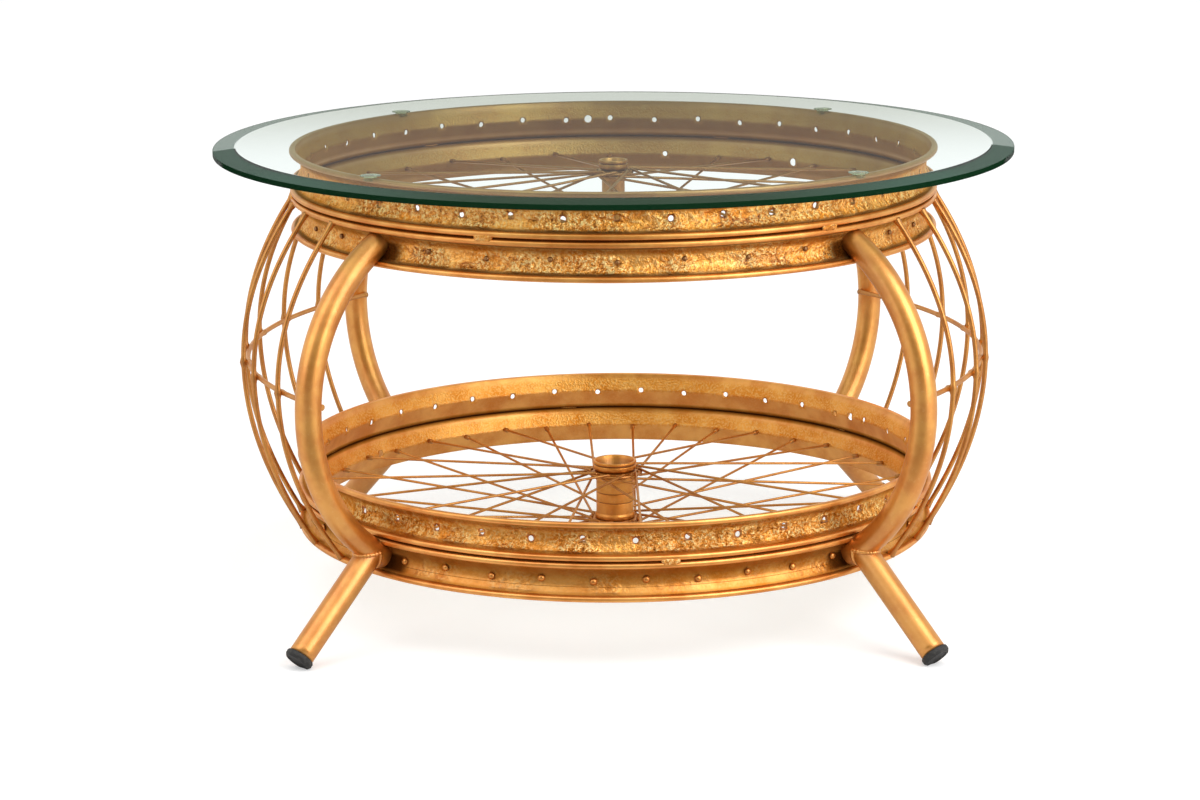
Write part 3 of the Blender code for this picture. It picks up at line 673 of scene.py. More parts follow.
def rimSection(rim):
    # the closed section: upper lip, channel, lower lip, hub side, with its masks
    shape = rimShape
    rows = np.arange(shape["channelRows"], -shape["channelRows"] - 1, -1) * shape["rowStep"]
    scribe = shape["scribe"] + np.array([-1.0, 0.0, 1.0]) * shape["scribeHalf"]
    rows = np.sort(np.append(rows, scribe))[::-1]
    upper, upperLipShadeAndSeam = rimLip(shape["curl"] if rim["laced"] else 0.0, rows[0])
    lower, lowerLipShadeAndSeam = rimLip(0.0 if rim["laced"] else shape["curl"], rows[0])
    channel = np.column_stack([channelRadius(rows), rows])
    patchRows = np.arange(-shape["patch"] // 2, shape["patch"] // 2 + 1) * shape["rowStep"]
    outerRows = np.array(shape["hubRows"])
    hubRows = np.concatenate([-outerRows[::-1], patchRows, outerRows])
    hubSide = np.column_stack([hubSideRadius(hubRows), hubRows])
    section = np.concatenate([upper, channel, (lower * (1.0, -1.0))[::-1], hubSide])
    sizes = (len(upper), len(channel), len(lower), len(hubSide))
    inChannel = slice(len(upper), len(upper) + len(rows))
    hammer = np.repeat((0.0, 1.0, 0.0, 0.0), sizes)
    lost, start, end = shape["smooth"]
    hammer[inChannel] -= lost * smoothStep(rows, start, end)
    inside = np.repeat((0.0, 0.0, 0.0, 1.0), sizes)
    sandy, depth = shape["sandyLip"]
    inside[section[:, 0] < rimRadius - depth] += sandy
    inside[inChannel] = 0.0
    overCrease = smoothStep(hubRows, -shape["crease"], shape["crease"])
    # the hub side's upper half takes the full share and its lower half the small one: painted light from
    # above
    inside[-len(hubSide):] = sandy + (1.0 - sandy) * overCrease
    # painted shade in the channel under the upper lip and above the lower lip
    channelShadeAndScribe = sum(darkening * smoothStep(sign * rows, start, end) for sign, (darkening, start, end) in (
        (1.0, shape["upperEdgeShade"]), (-1.0, shape["lowerEdgeShade"])))
    least, gain, reach = shape["shadeUnderLipRange"]
    # the channel darker on some rims, most under the upper lip: painted shade
    channelShadeAndScribe = np.maximum(channelShadeAndScribe, rim["shadeUnderLip"] * (least + gain * smoothStep(rows, -reach, reach)))
    channelShadeAndScribe[np.abs(rows - shape["scribe"]) < shape["scribeHalf"] / 3] += rim["scribe"]
    # the lower half of the hub side is also darkened under the glass, as painted shade
    grime = np.concatenate([upperLipShadeAndSeam, channelShadeAndScribe, lowerLipShadeAndSeam[::-1], rim["underGlassShade"] * (1.0 - overCrease)])
    firstPatchRow = len(upper) + shape["channelRows"] - shape["patch"] // 2
    firstHubRow = len(upper) + len(channel) + len(lower) + len(outerRows)
    return section, {"hammer": hammer, "inside": inside, "grime": grime}, firstPatchRow, firstHubRow


def holeRing(ringHeight, ringArc, azimuth, radiusAt, middle):
    # points at arc length u and height v from a hole's azimuth, laid on a turned surface r(v)
    along = azimuth + np.degrees(ringArc / rimRadius)
    return polar(radiusAt(ringHeight), along, middle + ringHeight)


def legContactShadow(azimuth):
    # painted contact shadow beside the legs, on the sides that face the front and the back
    middle, start, end = rimShape["contactShadow"]
    fromLeg = 90.0 - np.abs(azimuth % 180.0 - 90.0) - rimShape["legAt"]
    return 1.0 - smoothStep(np.abs(fromLeg - middle), start, end)


def rimPiece(name, rim):
    # the section carried round the axis, dented in and out in the channel by r (1 + d/r), with round holes:
    # each takes a square patch of cells from both sides and joins their edges through rings of points
    shape = rimShape
    section, masks, firstPatchRow, firstHubRow = rimSection(rim)
    count = len(section)
    columns = shape["columns"]
    azimuth = rim["clocking"] + np.arange(columns) * 360.0 / columns
    grid = polar(section[None, :, 0], azimuth[:, None], rim["middle"] + section[None, :, 1])
    dents = sum(share * latticeNoise(grid / size, rim["seed"] + number)
                for number, (share, size) in enumerate(shape["dents"]))
    dents = masks["hammer"][None, :] * dents * rim["dent"] * mm
    scale = 1.0 + dents / section[None, :, 0]
    grid[..., :2] *= scale[..., None]

    pitch = columns // rim["holes"]
    half = shape["patch"] // 2
    places = [(rim["valve"] * pitch, 0.0, shape["valveRadius"])]
    openHoles = [rim["empty"]] if "empty" in rim else [] if rim["laced"] else range(rim["holes"])
    for index in openHoles:
        height = -shape["stagger"] if index % 2 else shape["stagger"]
        places.append((index * pitch + pitch // 2, height, shape["holeRadius"]))
    step = np.arange(shape["patch"])
    full = np.full(shape["patch"], shape["patch"])
    acrossCells = np.concatenate([step, full, full - step, 0 * step])
    downCells = np.concatenate([0 * step, step, full, full - step])
    edgeArc = (acrossCells - half) * 2.0 * np.pi * rimRadius / columns
    edgeHeight = (half - downCells) * shape["rowStep"]

    kept = np.ones((columns, count), bool)
    extra, rings, first = [], [], columns * count
    for centre, height, radius in places:
        cells = (centre - half + step) % columns
        kept[np.ix_(cells, firstPatchRow + step)] = False
        kept[np.ix_(cells, firstHubRow + step)] = False
        around = np.arctan2(edgeHeight - height, edgeArc)
        holeArc = radius * np.cos(around)
        holeHeight = height + radius * np.sin(around)
        midArc = shape["midRing"] * edgeArc + (1.0 - shape["midRing"]) * holeArc
        midHeight = shape["midRing"] * edgeHeight + (1.0 - shape["midRing"]) * holeHeight
        turn = azimuth[centre % columns]
        extra += [holeRing(v, u, turn, surface, rim["middle"]) for u, v, surface in (
            (midArc, midHeight, channelRadius), (holeArc, holeHeight, channelRadius),
            (holeArc, holeHeight, hubSideRadius), (midArc, midHeight, hubSideRadius))]
        column = (centre - half + acrossCells) % columns * count
        new = [first + k * len(around) + np.arange(len(around)) for k in range(4)]
        hubEdge = column + firstHubRow + shape["patch"] - downCells
        rings.append(np.array([column + firstPatchRow + downCells, *new, hubEdge]))
        first += 4 * len(around)
    rings = np.array(rings)
    outer, inner = rings[:, :-1], rings[:, 1:]
    holeQuads = np.stack([outer, np.roll(outer, -1, axis=2), np.roll(inner, -1, axis=2), inner], axis=-1)
    quads = gridFaces(columns, count, True, True)[kept.reshape(-1)]
    # masks of a hole's four rings, from the channel through to the hub side; the dark on the middle rings is
    # painted shade in the hole
    ringMasks = {"hammer": (1.0, 0.3, 0.0, 0.0), "inside": (0.0, 0.0, 0.4, 1.0),
                 "grime": (0.0, 0.06, 0.15, 0.0)}
    shell = {"points": np.concatenate([grid.reshape(-1, 3), *extra]),
             "quads": np.concatenate([quads, holeQuads.reshape(-1, 4)]), "caps": []}
    for mask in maskNames:
        whole = np.tile(masks[mask], columns)
        if mask == "hammer":
            whole = whole * min(1.0, rim["dent"] / shape["fullBeating"])
        # painted contact shadow in the channel beside the legs
        if mask == "grime":
            beside = np.outer(legContactShadow(azimuth), masks["hammer"]).reshape(-1)
            whole = np.maximum(whole, beside * rim["contactShadow"])
        shell[mask] = np.append(whole, np.tile(np.repeat(ringMasks[mask], len(edgeArc)), len(places)))
    newPiece(name + "_beaten", [shell], goldRim, [name])


for rimName, rim in rims.items():
    rimPiece(rimName, rim)
print("rims made")


# Weld tabs between the two rims of a tier

tabShape = {
    "length": 18.0 * mm,
    "depth": 5.6 * mm,
    "height": 6.0 * mm,
    "proud": 0.5 * mm,
    "count": 6,
    "lump": 0.7 * mm,
    "lumpSizes": (2.6 * mm, 1.3 * mm),
    "fineShare": 0.5,
    "beaten": 0.7,
    "darkening": 0.05,
    "seed": 20,
    "soft": 0.45,                # roundness of the pad, from 0 for a box to 1 for an egg
    "rows": 13,
    "columns": 36,
    "upper": (-22.0, "upper_top_rim", "upper_spoked_rim"),
    "lower": (9.0, "lower_top_rim", "lower_spoked_rim"),
}


def weldPad(centre, azimuth, seed):
    # squared ball, (a C(q) C(p), b C(q) S(p), c S(q)) with C and S the cosine and sine raised to a small
    # power with their sign kept, pushed out and in by noise
    shape = tabShape
    rows = np.radians(np.linspace(-88.0, 88.0, shape["rows"]))[:, None]
    around = np.radians(np.linspace(0.0, 360.0, shape["columns"], endpoint=False))[None, :]

    def squared(value):
        return np.sign(value) * np.abs(value) ** shape["soft"]

    x = shape["depth"] / 2 * squared(np.cos(rows)) * squared(np.cos(around))
    y = shape["length"] / 2 * squared(np.cos(rows)) * squared(np.sin(around))
    z = shape["height"] / 2 * squared(np.sin(rows)) * np.ones_like(around)
    local = np.stack([x, y, z], axis=-1)
    turn = np.radians(azimuth)
    outward, along = (np.cos(turn), np.sin(turn), 0.0), (-np.sin(turn), np.cos(turn), 0.0)
    axes = np.array([outward, along, (0.0, 0.0, 1.0)])
    points = centre + local @ axes
    coarse, fine = (latticeNoise(points / size, seed) for size in shape["lumpSizes"])
    push = shape["lump"] * coarse + shape["fineShare"] * shape["lump"] * fine
    points = points + push[..., None] * (unit(local) @ axes)
    return loft(points, hammer=shape["beaten"], grime=shape["darkening"])


for tier in ("upper", "lower"):
    clocking, topRim, bottomRim = tabShape[tier]
    slitHeight = (rims[topRim]["middle"] + rims[bottomRim]["middle"]) / 2
    for number in range(tabShape["count"]):
        tabAzimuth = -90.0 + clocking + 360.0 * number / tabShape["count"]
        tabRadius = rimRadius - tabShape["depth"] / 2 + tabShape["proud"]
        pad = weldPad(polar(tabRadius, tabAzimuth, slitHeight), tabAzimuth, tabShape["seed"] + number)
        tabName = "%s_rim_tab_%d" % (tier, number + 1)
        newPiece(tabName + "_weld", [pad], goldRim, [tabName])
print("rim tabs made")


# Hubs and laced spokes

# lengths in millimetres
hubs = {
    "upper": {"rim": "upper_spoked_rim", "spokes": 32, "barrel": 11.8, "flange": 20.5, "circle": 17.5,
              "spacing": 55.0, "bore": 8.5, "darkening": 0.45, "head": 0.72},
    "lower": {"rim": "lower_spoked_rim", "spokes": 40, "barrel": 19.5, "flange": 28.5, "circle": 25.0,
              "spacing": 50.0, "bore": 16.0, "darkening": 0.0, "head": 1.0},
}
hubShape = {"flangeThickness": 4.0, "ring": 0.7, "flangeDirt": 0.2, "cupStep": 2.5, "cupHeight": 8.0,
            "gap": 0.3, "columns": 72}
spokeShape = {
    "radius": 1.3,
    "crosses": 3,
    "sides": 10,
    "bend": 3.2,             # length of the elbow at the flange, after its start under the corner
    "bendStart": 1.4,
    "bendSteps": 5,
    "nippleRadius": 2.5,
    "nippleLength": 8.0,
    "headRadius": 3.6,
    "headHeight": 2.8,
    "headSeat": -0.6,        # start of the head, past the rim's bed
    "buttonRadius": 2.3,     # button that holds the spoke in the flange
    # painted shade where the spoke leaves the flange and bends
    "buttonShade": 0.5,
    "bendShade": 0.3,
}


def hubShell(hub):
    # barrel outline in millimetres, mirrored about the middle: mouth, rolled lip, groove, collar, neck
    shape = hubShape
    neck = hub["spacing"] / 2 + shape["flangeThickness"] / 2 + shape["gap"]
    top = neck + shape["cupStep"] + shape["cupHeight"]
    barrel = hub["barrel"]
    cup = barrel + shape["cupStep"]
    seat = hub["spacing"] / 2 - shape["flangeThickness"] / 2
    # each corner as (radius, height, fillet, painted shade in the grooves and recesses)
    upper = np.array([
        (hub["bore"], 0.0, 0.0, 0.5),
        (hub["bore"], neck + 1.5, 0.4, 0.6),
        (barrel - 1.2, top - 4.5, 0.6, 0.4),
        (cup - 2.2, top, 0.7, 0.0),
        (cup + 0.2, top, 0.9, 0.0),
        (cup + 0.2, top - 2.6, 0.6, 0.0),
        (cup - 1.0, top - 3.1, 0.3, 0.8),
        (cup - 1.0, top - 3.9, 0.3, 0.8),
        (cup + 0.4, top - 4.6, 0.8, 0.0),
        (cup + 0.1, neck + 2.2, 0.8, 0.1),
        (barrel, neck + 0.1, 0.5, 0.8),
        (barrel, seat - 0.4, 0.2, 0.7),
        (barrel + 1.0, seat - 1.0, 0.6, 0.1),
        (barrel + 1.0, seat - 4.4, 0.8, 0.0),
        (barrel - 0.3, seat - 6.4, 1.2, 0.15),
        (barrel - 0.3, 5.6, 0.2, 0.0),
        (barrel - 0.9, 5.2, 0.2, 0.6),
        (barrel - 0.9, 4.6, 0.2, 0.6),
        (barrel - 0.3, 4.2, 0.2, 0.0),
        (barrel - 0.3, 0.0, 0.0, 0.0),
    ])
    outline = roundedOutline(upper[:, :3])
    darkening = np.concatenate([upper[:1, 3], np.repeat(upper[1:-1, 3], filletSteps), upper[-1:, 3]])
    lower = outline[-2:0:-1] * (1.0, -1.0)
    whole = np.concatenate([outline, lower]) * mm
    whole[:, 1] += rims[hub["rim"]]["middle"]
    return turned(whole, shape["columns"], closed=True, grime=np.concatenate([darkening, darkening[-2:0:-1]]))


def flangeShell(hub, side):
    # thin pressed plate with a rounded edge and a raised ring round the barrel
    shape = hubShape
    inner = hub["barrel"] + shape["gap"]
    half = shape["flangeThickness"] / 2
    middle = side * hub["spacing"] / 2
    plate = half - shape["ring"]
    corners = [
        (inner, 0.0, 0.0), (inner, half, 0.3), (inner + 2.0, half, 0.6), (inner + 2.8, plate, 0.4),
        (hub["flange"] - 0.4, plate, 0.8), (hub["flange"], 0.0, 0.8), (hub["flange"] - 0.4, -plate, 0.8),
        (inner + 2.8, -plate, 0.4), (inner + 2.0, -half, 0.6), (inner, -half, 0.3), (inner, -0.2, 0.0),
    ]
    outline = roundedOutline(corners) * mm
    outline[:, 1] += rims[hub["rim"]]["middle"] + middle * mm
    return turned(outline, shape["columns"], closed=True, grime=shape["flangeDirt"])


def spokeShells(hub, side):
    # each path goes up through the flange, round a short bend (a + 2t(b - a) + t^2 (a - 2b + c)) and
    # straight to the rim, and the radius along it makes the button, the wire, the nipple and its domed head
    shape = spokeShape
    rim = rims[hub["rim"]]
    index = np.arange(hub["spokes"] // 2)
    rimIndex = 2 * index + (0 if side > 0 else 1)
    index, rimIndex = (numbers[rimIndex != rim.get("empty", -1)] for numbers in (index, rimIndex))
    lean = np.where(index % 2, 1.0, -1.0)
    rimAzimuth = (rimIndex + 0.5) * 360.0 / hub["spokes"] + rim["clocking"]
    hubAzimuth = rimAzimuth + lean * shape["crosses"] * 720.0 / hub["spokes"]
    face = hubShape["flangeThickness"] / 2 - hubShape["ring"]
    level = side * hub["spacing"] / 2
    rise = np.array([0.0, 0.0, 1.0]) * lean[:, None]
    flangePoint = polar(hub["circle"], hubAzimuth, level) + rise * face
    stagger = side * rimShape["stagger"] / mm
    bedRadius = (rimRadius - rimShape["depth"]) / mm
    rimEnd = polar(bedRadius, rimAzimuth, stagger)
    corner = flangePoint + rise * shape["radius"]
    direction = unit(rimEnd - corner)

    share = np.linspace(0.0, 1.0, shape["bendSteps"])[None, :, None]
    bendStart = (corner - rise * shape["bendStart"])[:, None]
    bendEnd = (corner + direction * shape["bend"])[:, None]
    bend = bendStart + 2 * share * (corner[:, None] - bendStart)
    bend = bend + share ** 2 * (bendStart - 2 * corner[:, None] + bendEnd)

    # button as rows of (drop under the flange, radius)
    wire, knob = shape["radius"], shape["buttonRadius"]
    buttonRows = np.array([(1.5, 0.5), (1.3, 1.5), (0.7, knob), (0.0, knob), (-0.2, wire)])
    buttonDrop = 2.0 * face + buttonRows[:, 0]
    button = flangePoint[:, None] - rise[:, None] * buttonDrop[None, :, None]

    # wire, nipple and head as rows of (distance back from the rim's bed, radius, painted shade on the nipple
    # and round the head's base), with a minus past it
    length, nipple, seat = shape["nippleLength"], shape["nippleRadius"], shape["headSeat"]
    dome, head = shape["headHeight"] * hub["head"], shape["headRadius"] * hub["head"]
    stations = np.array([
        (60.0, wire, 0.0), (length + 1.2, wire, 0.1), (length, 0.8 * nipple, 0.45),
        (length - 0.4, nipple, 0.45), (1.0, nipple, 0.5), (-0.4, nipple, 0.8), (seat, head, 0.55),
        (seat - 0.45 * dome, 0.92 * head, 0.05), (seat - 0.8 * dome, 0.62 * head, 0.0),
        (seat - dome, 0.18 * head, 0.0),
    ])
    stations[:, 2] += np.where(stations[:, 0] < 0.0, hub["darkening"], 0.0)
    straight = rimEnd[:, None] - direction[:, None] * stations[None, :, :1]
    path = np.concatenate([button, bend, straight], axis=1)
    path[..., 2] += rim["middle"] / mm
    radius = np.concatenate([buttonRows[:, 1], [wire] * shape["bendSteps"], stations[:, 1]])
    across = unit(np.cross(direction, (0.0, 0.0, 1.0)))
    rings = swept(path * mm, np.broadcast_to(radius * mm, path.shape[:2]), across[:, None], shape["sides"])
    darkening = np.repeat((shape["buttonShade"], shape["bendShade"]), (len(buttonRows), shape["bendSteps"]))
    grime = np.clip(np.append(darkening, stations[:, 2]), 0.0, 1.0)
    return [loft(ring, grime=grime[:, None]) for ring in rings]


for hubName, hub in hubs.items():
    newPiece(hubName + "_hub_turned", [hubShell(hub)], goldHub, [hubName + "_hub_shell"])
    for word, side in (("top", 1), ("bottom", -1)):
        laced = [flangeShell(hub, side)] + spokeShells(hub, side)
        spokeNode = "%s_spokes_%s" % (hubName, word)
        newPiece(spokeNode + "_laced", laced, goldSpoke, [spokeNode])
print("hubs and spokes made")


# Legs, feet and caps

legShape = {
    "spread": 45.0,
    "tube": 12.5 * mm,
    "bulge": 80.0 * mm,
    "sink": 6.5 * mm,
    "setback": 15.0 * mm,
    "tilt": 47.0,
    "sides": 40,
    "stations": 72,
    "sharp": 50.0,
    "tuck": 1.09,                # how far the top end runs on under the lip, as a share of the half arc
    "overlap": 0.6 * mm,
    "bead": 2.1 * mm,
    "endDarkening": 0.18,              # darker share of the paint near the ends, full up to and gone from a length, and all over the feet
    "endDarkeningReach": (40.0 * mm, 120.0 * mm),
    # painted shade at each end of the leg, where it meets a rim
    "jointShade": (0.75, 14.0 * mm),
    "innerRing": 0.03,           # size of the ring that closes an end
    "tries": 1200,               # steps in the search for where a line along the tube ends
}
footShape = {
    "tries": 1500,
    "longest": 3.2,              # reach of that search, in tube radii
    "seed": 40,
    "stations": 24,
    "crowding": 1.3,             # power that moves the stations towards the weld
    # painted shade on the foot at its joint with the leg
    "jointShade": (0.5, 9.0 * mm),
    "beadPoints": 220,
    "beadSides": 12,
    "beadDirt": 0.12,
    "ripple": (0.06, 34.0),      # height and number of the bead's ripples
    "lump": (0.2, 5.0 * mm),
}
# lengths in millimetres
capShape = {"radius": 14.0, "thickness": 6.5, "chamfer": 2.0, "flat": 0.5, "facets": 10, "columns": 48,
            "sharp": 50.0}
legAzimuths = {
    "front_left": legShape["spread"] - 180.0,
    "front_right": -legShape["spread"],
    "back_right": legShape["spread"],
    "back_left": 180.0 - legShape["spread"],
}
upperMiddle = rims["upper_spoked_rim"]["middle"]
lowerMiddle = rims["lower_spoked_rim"]["middle"]
tableMiddle = (upperMiddle + lowerMiddle) / 2
halfHeight = (upperMiddle - lowerMiddle) / 2
legBulge = rimRadius + legShape["bulge"]
legRise = legShape["bulge"] + legShape["sink"]
arcRadius = (halfHeight ** 2 + legRise ** 2) / (2 * legRise)
arcHalfAngle = math.asin(halfHeight / arcRadius)
arcCentre = legBulge - arcRadius


def standing(outwards, sideways, height, azimuth):
    # a point given in the upright plane of a leg: distance out, distance to the side and height
    turn = np.radians(azimuth)
    x = outwards * np.cos(turn) - sideways * np.sin(turn)
    y = outwards * np.sin(turn) + sideways * np.cos(turn)
    return np.stack(np.broadcast_arrays(x, y, height), axis=-1)


def legSurface(angle, around):
    # torus piece: out = c + (A + t cos p) cos q, side = t sin p, height = m + (A + t cos p) sin q
    reach = arcRadius + legShape["tube"] * np.cos(around)
    sideways = legShape["tube"] * np.sin(around)
    return arcCentre + reach * np.cos(angle), sideways + 0.0 * angle, tableMiddle + reach * np.sin(angle)


def legEnd(around, sign, rimMiddle):
    # how far each line along the tube runs before it meets the rim or the square-cut end
    reach = legShape["tuck"] if sign > 0.0 else 1.0
    angle = np.linspace(0.5, reach, legShape["tries"])[None, :] * arcHalfAngle * sign
    outwards, sideways, height = legSurface(angle, around[:, None])
    inside = np.hypot(outwards, sideways) < tyreSideRadius(height - rimMiddle) - legShape["overlap"]
    inside &= np.abs(height - rimMiddle) < rimHalf
    stop = np.where(inside.any(axis=1), inside.argmax(axis=1), angle.shape[1] - 1)
    return angle[0, stop]


def tubeShell(rings, grime):
    # a small ring in the middle of each end turns it into a shallow cone
    ends = rings[[0, -1]]
    middles = ends.mean(axis=1, keepdims=True)
    small = middles + legShape["innerRing"] * (ends - middles)
    rings = np.concatenate([small[:1], rings, small[1:]])
    return loft(rings, grime=np.concatenate([grime[:1], grime, grime[-1:]]))


def legShell(azimuth):
    # the torus piece, with each line along it stopped where it meets the two rims
    around = circle(legShape["sides"])
    top = legEnd(around, 1.0, upperMiddle)
    bottom = legEnd(around, -1.0, lowerMiddle)
    share = np.linspace(0.0, 1.0, legShape["stations"])[:, None]
    angle = top + (bottom - top) * share
    rings = standing(*legSurface(angle, around[None, :]), azimuth)
    near = np.minimum(np.abs(angle - top), np.abs(angle - bottom)) * arcRadius
    # painted shade at the joints with the rims, and the darker paint near the ends
    darkening, length = legShape["jointShade"]
    endDarkening = legShape["endDarkening"] * (1.0 - smoothStep(near, *legShape["endDarkeningReach"]))
    return tubeShell(rings, np.maximum(darkening * (1.0 - smoothStep(near, 0.0, length)), endDarkening))


footAngle = legShape["setback"] / arcRadius - arcHalfAngle
footJoint = (arcCentre + arcRadius * math.cos(footAngle), tableMiddle + arcRadius * math.sin(footAngle))
footTilt = math.radians(legShape["tilt"])
footDown = (math.sin(footTilt), -math.cos(footTilt))
flatSide = math.cos(math.pi / capShape["facets"])
capEdge = (capShape["radius"] - capShape["chamfer"]) * flatSide * math.sin(footTilt)
capShoulder = capShape["radius"] * flatSide * math.sin(footTilt) - capShape["chamfer"] * math.cos(footTilt)
footDrop = footJoint[1] - (max(capEdge, capShoulder) - capShape["flat"]) * mm
footLength = footDrop / math.cos(footTilt)


def footSurface(along, around):
    # straight tube: joint + d s + t (n cos p + side sin p), with n square to the axis in the leg's plane
    tube = legShape["tube"]
    outwards = footJoint[0] + footDown[0] * along - footDown[1] * tube * np.cos(around)
    height = footJoint[1] + footDown[1] * along + footDown[0] * tube * np.cos(around)
    return outwards, tube * np.sin(around) + 0.0 * along, height


def footTop(around):
    # where each line along the foot comes out of the leg: its distance to the leg's arc is the tube's radius
    along = np.linspace(0.0, footShape["longest"] * legShape["tube"], footShape["tries"])[None, :]
    outwards, sideways, height = footSurface(along, around[:, None])
    fromArc = np.hypot(outwards - arcCentre, height - tableMiddle) - arcRadius
    outside = np.hypot(fromArc, sideways) > legShape["tube"]
    return along[0, np.where(outside.any(axis=1), outside.argmax(axis=1), 0)]


def footShells(azimuth, seed):
    # the straight tube from the leg to the cap, and a weld bead r (1 + k sin(n p) + noise) along the seam
    shape = footShape
    around = circle(legShape["sides"])
    top = footTop(around)
    share = np.linspace(0.0, 1.0, shape["stations"])[:, None] ** shape["crowding"]
    along = (top - legShape["overlap"]) * (1.0 - share) + (footLength - capShape["thickness"] * mm) * share
    rings = standing(*footSurface(along, around[None, :]), azimuth)
    darkening, length = shape["jointShade"]
    grime = np.maximum(darkening * (1.0 - smoothStep(along - top, 0.0, length)), legShape["endDarkening"])
    around = circle(shape["beadPoints"])
    seam = standing(*footSurface(footTop(around), around), azimuth)
    (ripple, ripples), (lump, size) = shape["ripple"], shape["lump"]
    swelling = 1.0 + ripple * np.sin(ripples * around) + lump * latticeNoise(seam / size, seed)
    down = standing(footDown[0], 0.0, footDown[1], azimuth)
    bead = swept(seam, legShape["bead"] * swelling, down, shape["beadSides"], closed=True)
    return [tubeShell(rings, grime), loft(bead, closed=True, grime=shape["beadDirt"])]


def capShell(azimuth):
    # turned cap on the foot's axis, with everything under the floor pressed flat on it
    radius, top, chamfer = capShape["radius"], capShape["thickness"], capShape["chamfer"]
    corners = [
        (0.4, top + 0.1, 0.0), (radius - 0.5, top + 0.1, 0.5), (radius, top - 0.9, 0.5),
        (radius, chamfer + 0.6, 0.6), (radius - chamfer, 0.0, 0.5), (radius - 4.2, 0.0, 0.3),
        (radius - 4.7, 0.7, 0.3), (0.4, 0.7, 0.0),
    ]
    outwards, height = (start + down * footLength for start, down in zip(footJoint, footDown))
    face = standing(outwards, 0.0, height, azimuth)
    up = standing(-footDown[0], 0.0, -footDown[1], azimuth)
    side = standing(0.0, 1.0, 0.0, azimuth)
    turn = np.column_stack([np.cross(side, up), side, up, face])
    shell = turned(roundedOutline(corners) * mm, capShape["columns"], turn)
    shell["points"][:, 2] = np.maximum(shell["points"][:, 2], 0.0)
    return shell


for seed, (place, azimuth) in enumerate(legAzimuths.items()):
    newPiece("leg_%s_bent" % place, [legShell(azimuth)], goldTube,
             ["leg_" + place], sharp=legShape["sharp"])
    newPiece("foot_%s_welded" % place, footShells(azimuth, footShape["seed"] + seed), goldTube,
             ["foot_tube_" + place])
    newPiece("foot_cap_%s_moulded" % place, [capShell(azimuth)], blackCap,
             ["foot_cap_" + place], sharp=capShape["sharp"])
print("legs and feet made")


# Side baskets of bowed wires on a level hoop

wireShape = {
    "radius": 2.5 * mm,
    "perSide": 7,
    "sides": 12,
    "stations": 61,
    "hoopStations": 181,
    "hoopBulge": 46.5 * mm,
    "hoopLift": 7.7 * mm,
    "overhang": 2.5 * mm,
    "lump": 0.6,              # how much thicker a weld is than the wire
    "hoopLump": 0.5,          # share of that on the hoop
    "lumpLength": 3.0 * mm,
    "lumpGrain": 2.5 * mm,
    "wireWeld": (0.7, 0.4),   # roughness and dirt of the welds
    "hoopWeld": (0.6, 0.35),
    "wireSeed": 70,
    "hoopSeed": 61,
    "tuck": 1.0 * mm,         # how far in from the rim's edge a wire meets the lips, between them
    "seat": 1.6 * mm,         # how far its ends run into the lips
}
sides = {"right": 0.0, "left": 180.0}
hoopSide = rimRadius + wireShape["hoopBulge"]
hoopHeight = tableMiddle + wireShape["hoopLift"]
legAxis = arcCentre + math.sqrt(arcRadius ** 2 - wireShape["hoopLift"] ** 2)
legReach = legAxis - legShape["tube"] - wireShape["radius"]
hoopHalfChord = legReach * math.sin(math.radians(legShape["spread"]))
hoopRise = hoopSide - legReach * math.cos(math.radians(legShape["spread"]))
hoopArc = (hoopHalfChord ** 2 + hoopRise ** 2) / (2 * hoopRise)
hoopCentre = hoopSide - hoopArc


def hoopRadius(offset):
    # distance from the axis to a level arc through the side and the inner faces of two legs
    angle = np.radians(offset)
    return hoopCentre * np.cos(angle) + np.sqrt(hoopArc ** 2 - (hoopCentre * np.sin(angle)) ** 2)


def wireOffset(number):
    # degrees from the middle of a side to a wire: spread (2 n / (count + 1) - 1)
    return legShape["spread"] * (2.0 * number / (wireShape["perSide"] + 1) - 1.0)


def lumps(length, places):
    # bell-shaped swelling of the wire at each weld: k exp(-((s - s0) / w)^2)
    swelling = [np.exp(-((length - place) / wireShape["lumpLength"]) ** 2) for place in places]
    return wireShape["lump"] * np.max(swelling, axis=0)


def weldedWire(path, lump, weld, seed, across):
    # r (1 + lump (1 + k noise)) along the path, and dirt with the lumps
    rough, darkening = weld
    swelling = 1.0 + lump * (1.0 + rough * latticeNoise(path / wireShape["lumpGrain"], seed))
    rings = swept(path, wireShape["radius"] * swelling, across, wireShape["sides"])
    return loft(rings, grime=darkening * lump[:, None])


def hoopShell(azimuth):
    # a level arc from leg to leg, thicker at each weld
    reach = legShape["spread"] + math.degrees(wireShape["overhang"] / legReach)
    offset = np.linspace(-reach, reach, wireShape["hoopStations"])
    path = polar(hoopRadius(offset), azimuth + offset, hoopHeight)
    length = np.radians(offset) * hoopSide
    welds = [np.radians(wireOffset(n)) * hoopSide for n in range(1, wireShape["perSide"] + 1)]
    welds += [length[0], length[-1]]
    lump = wireShape["hoopLump"] * lumps(length, welds)
    return weldedWire(path, lump, wireShape["hoopWeld"], wireShape["hoopSeed"], np.array([0.0, 0.0, 1.0]))


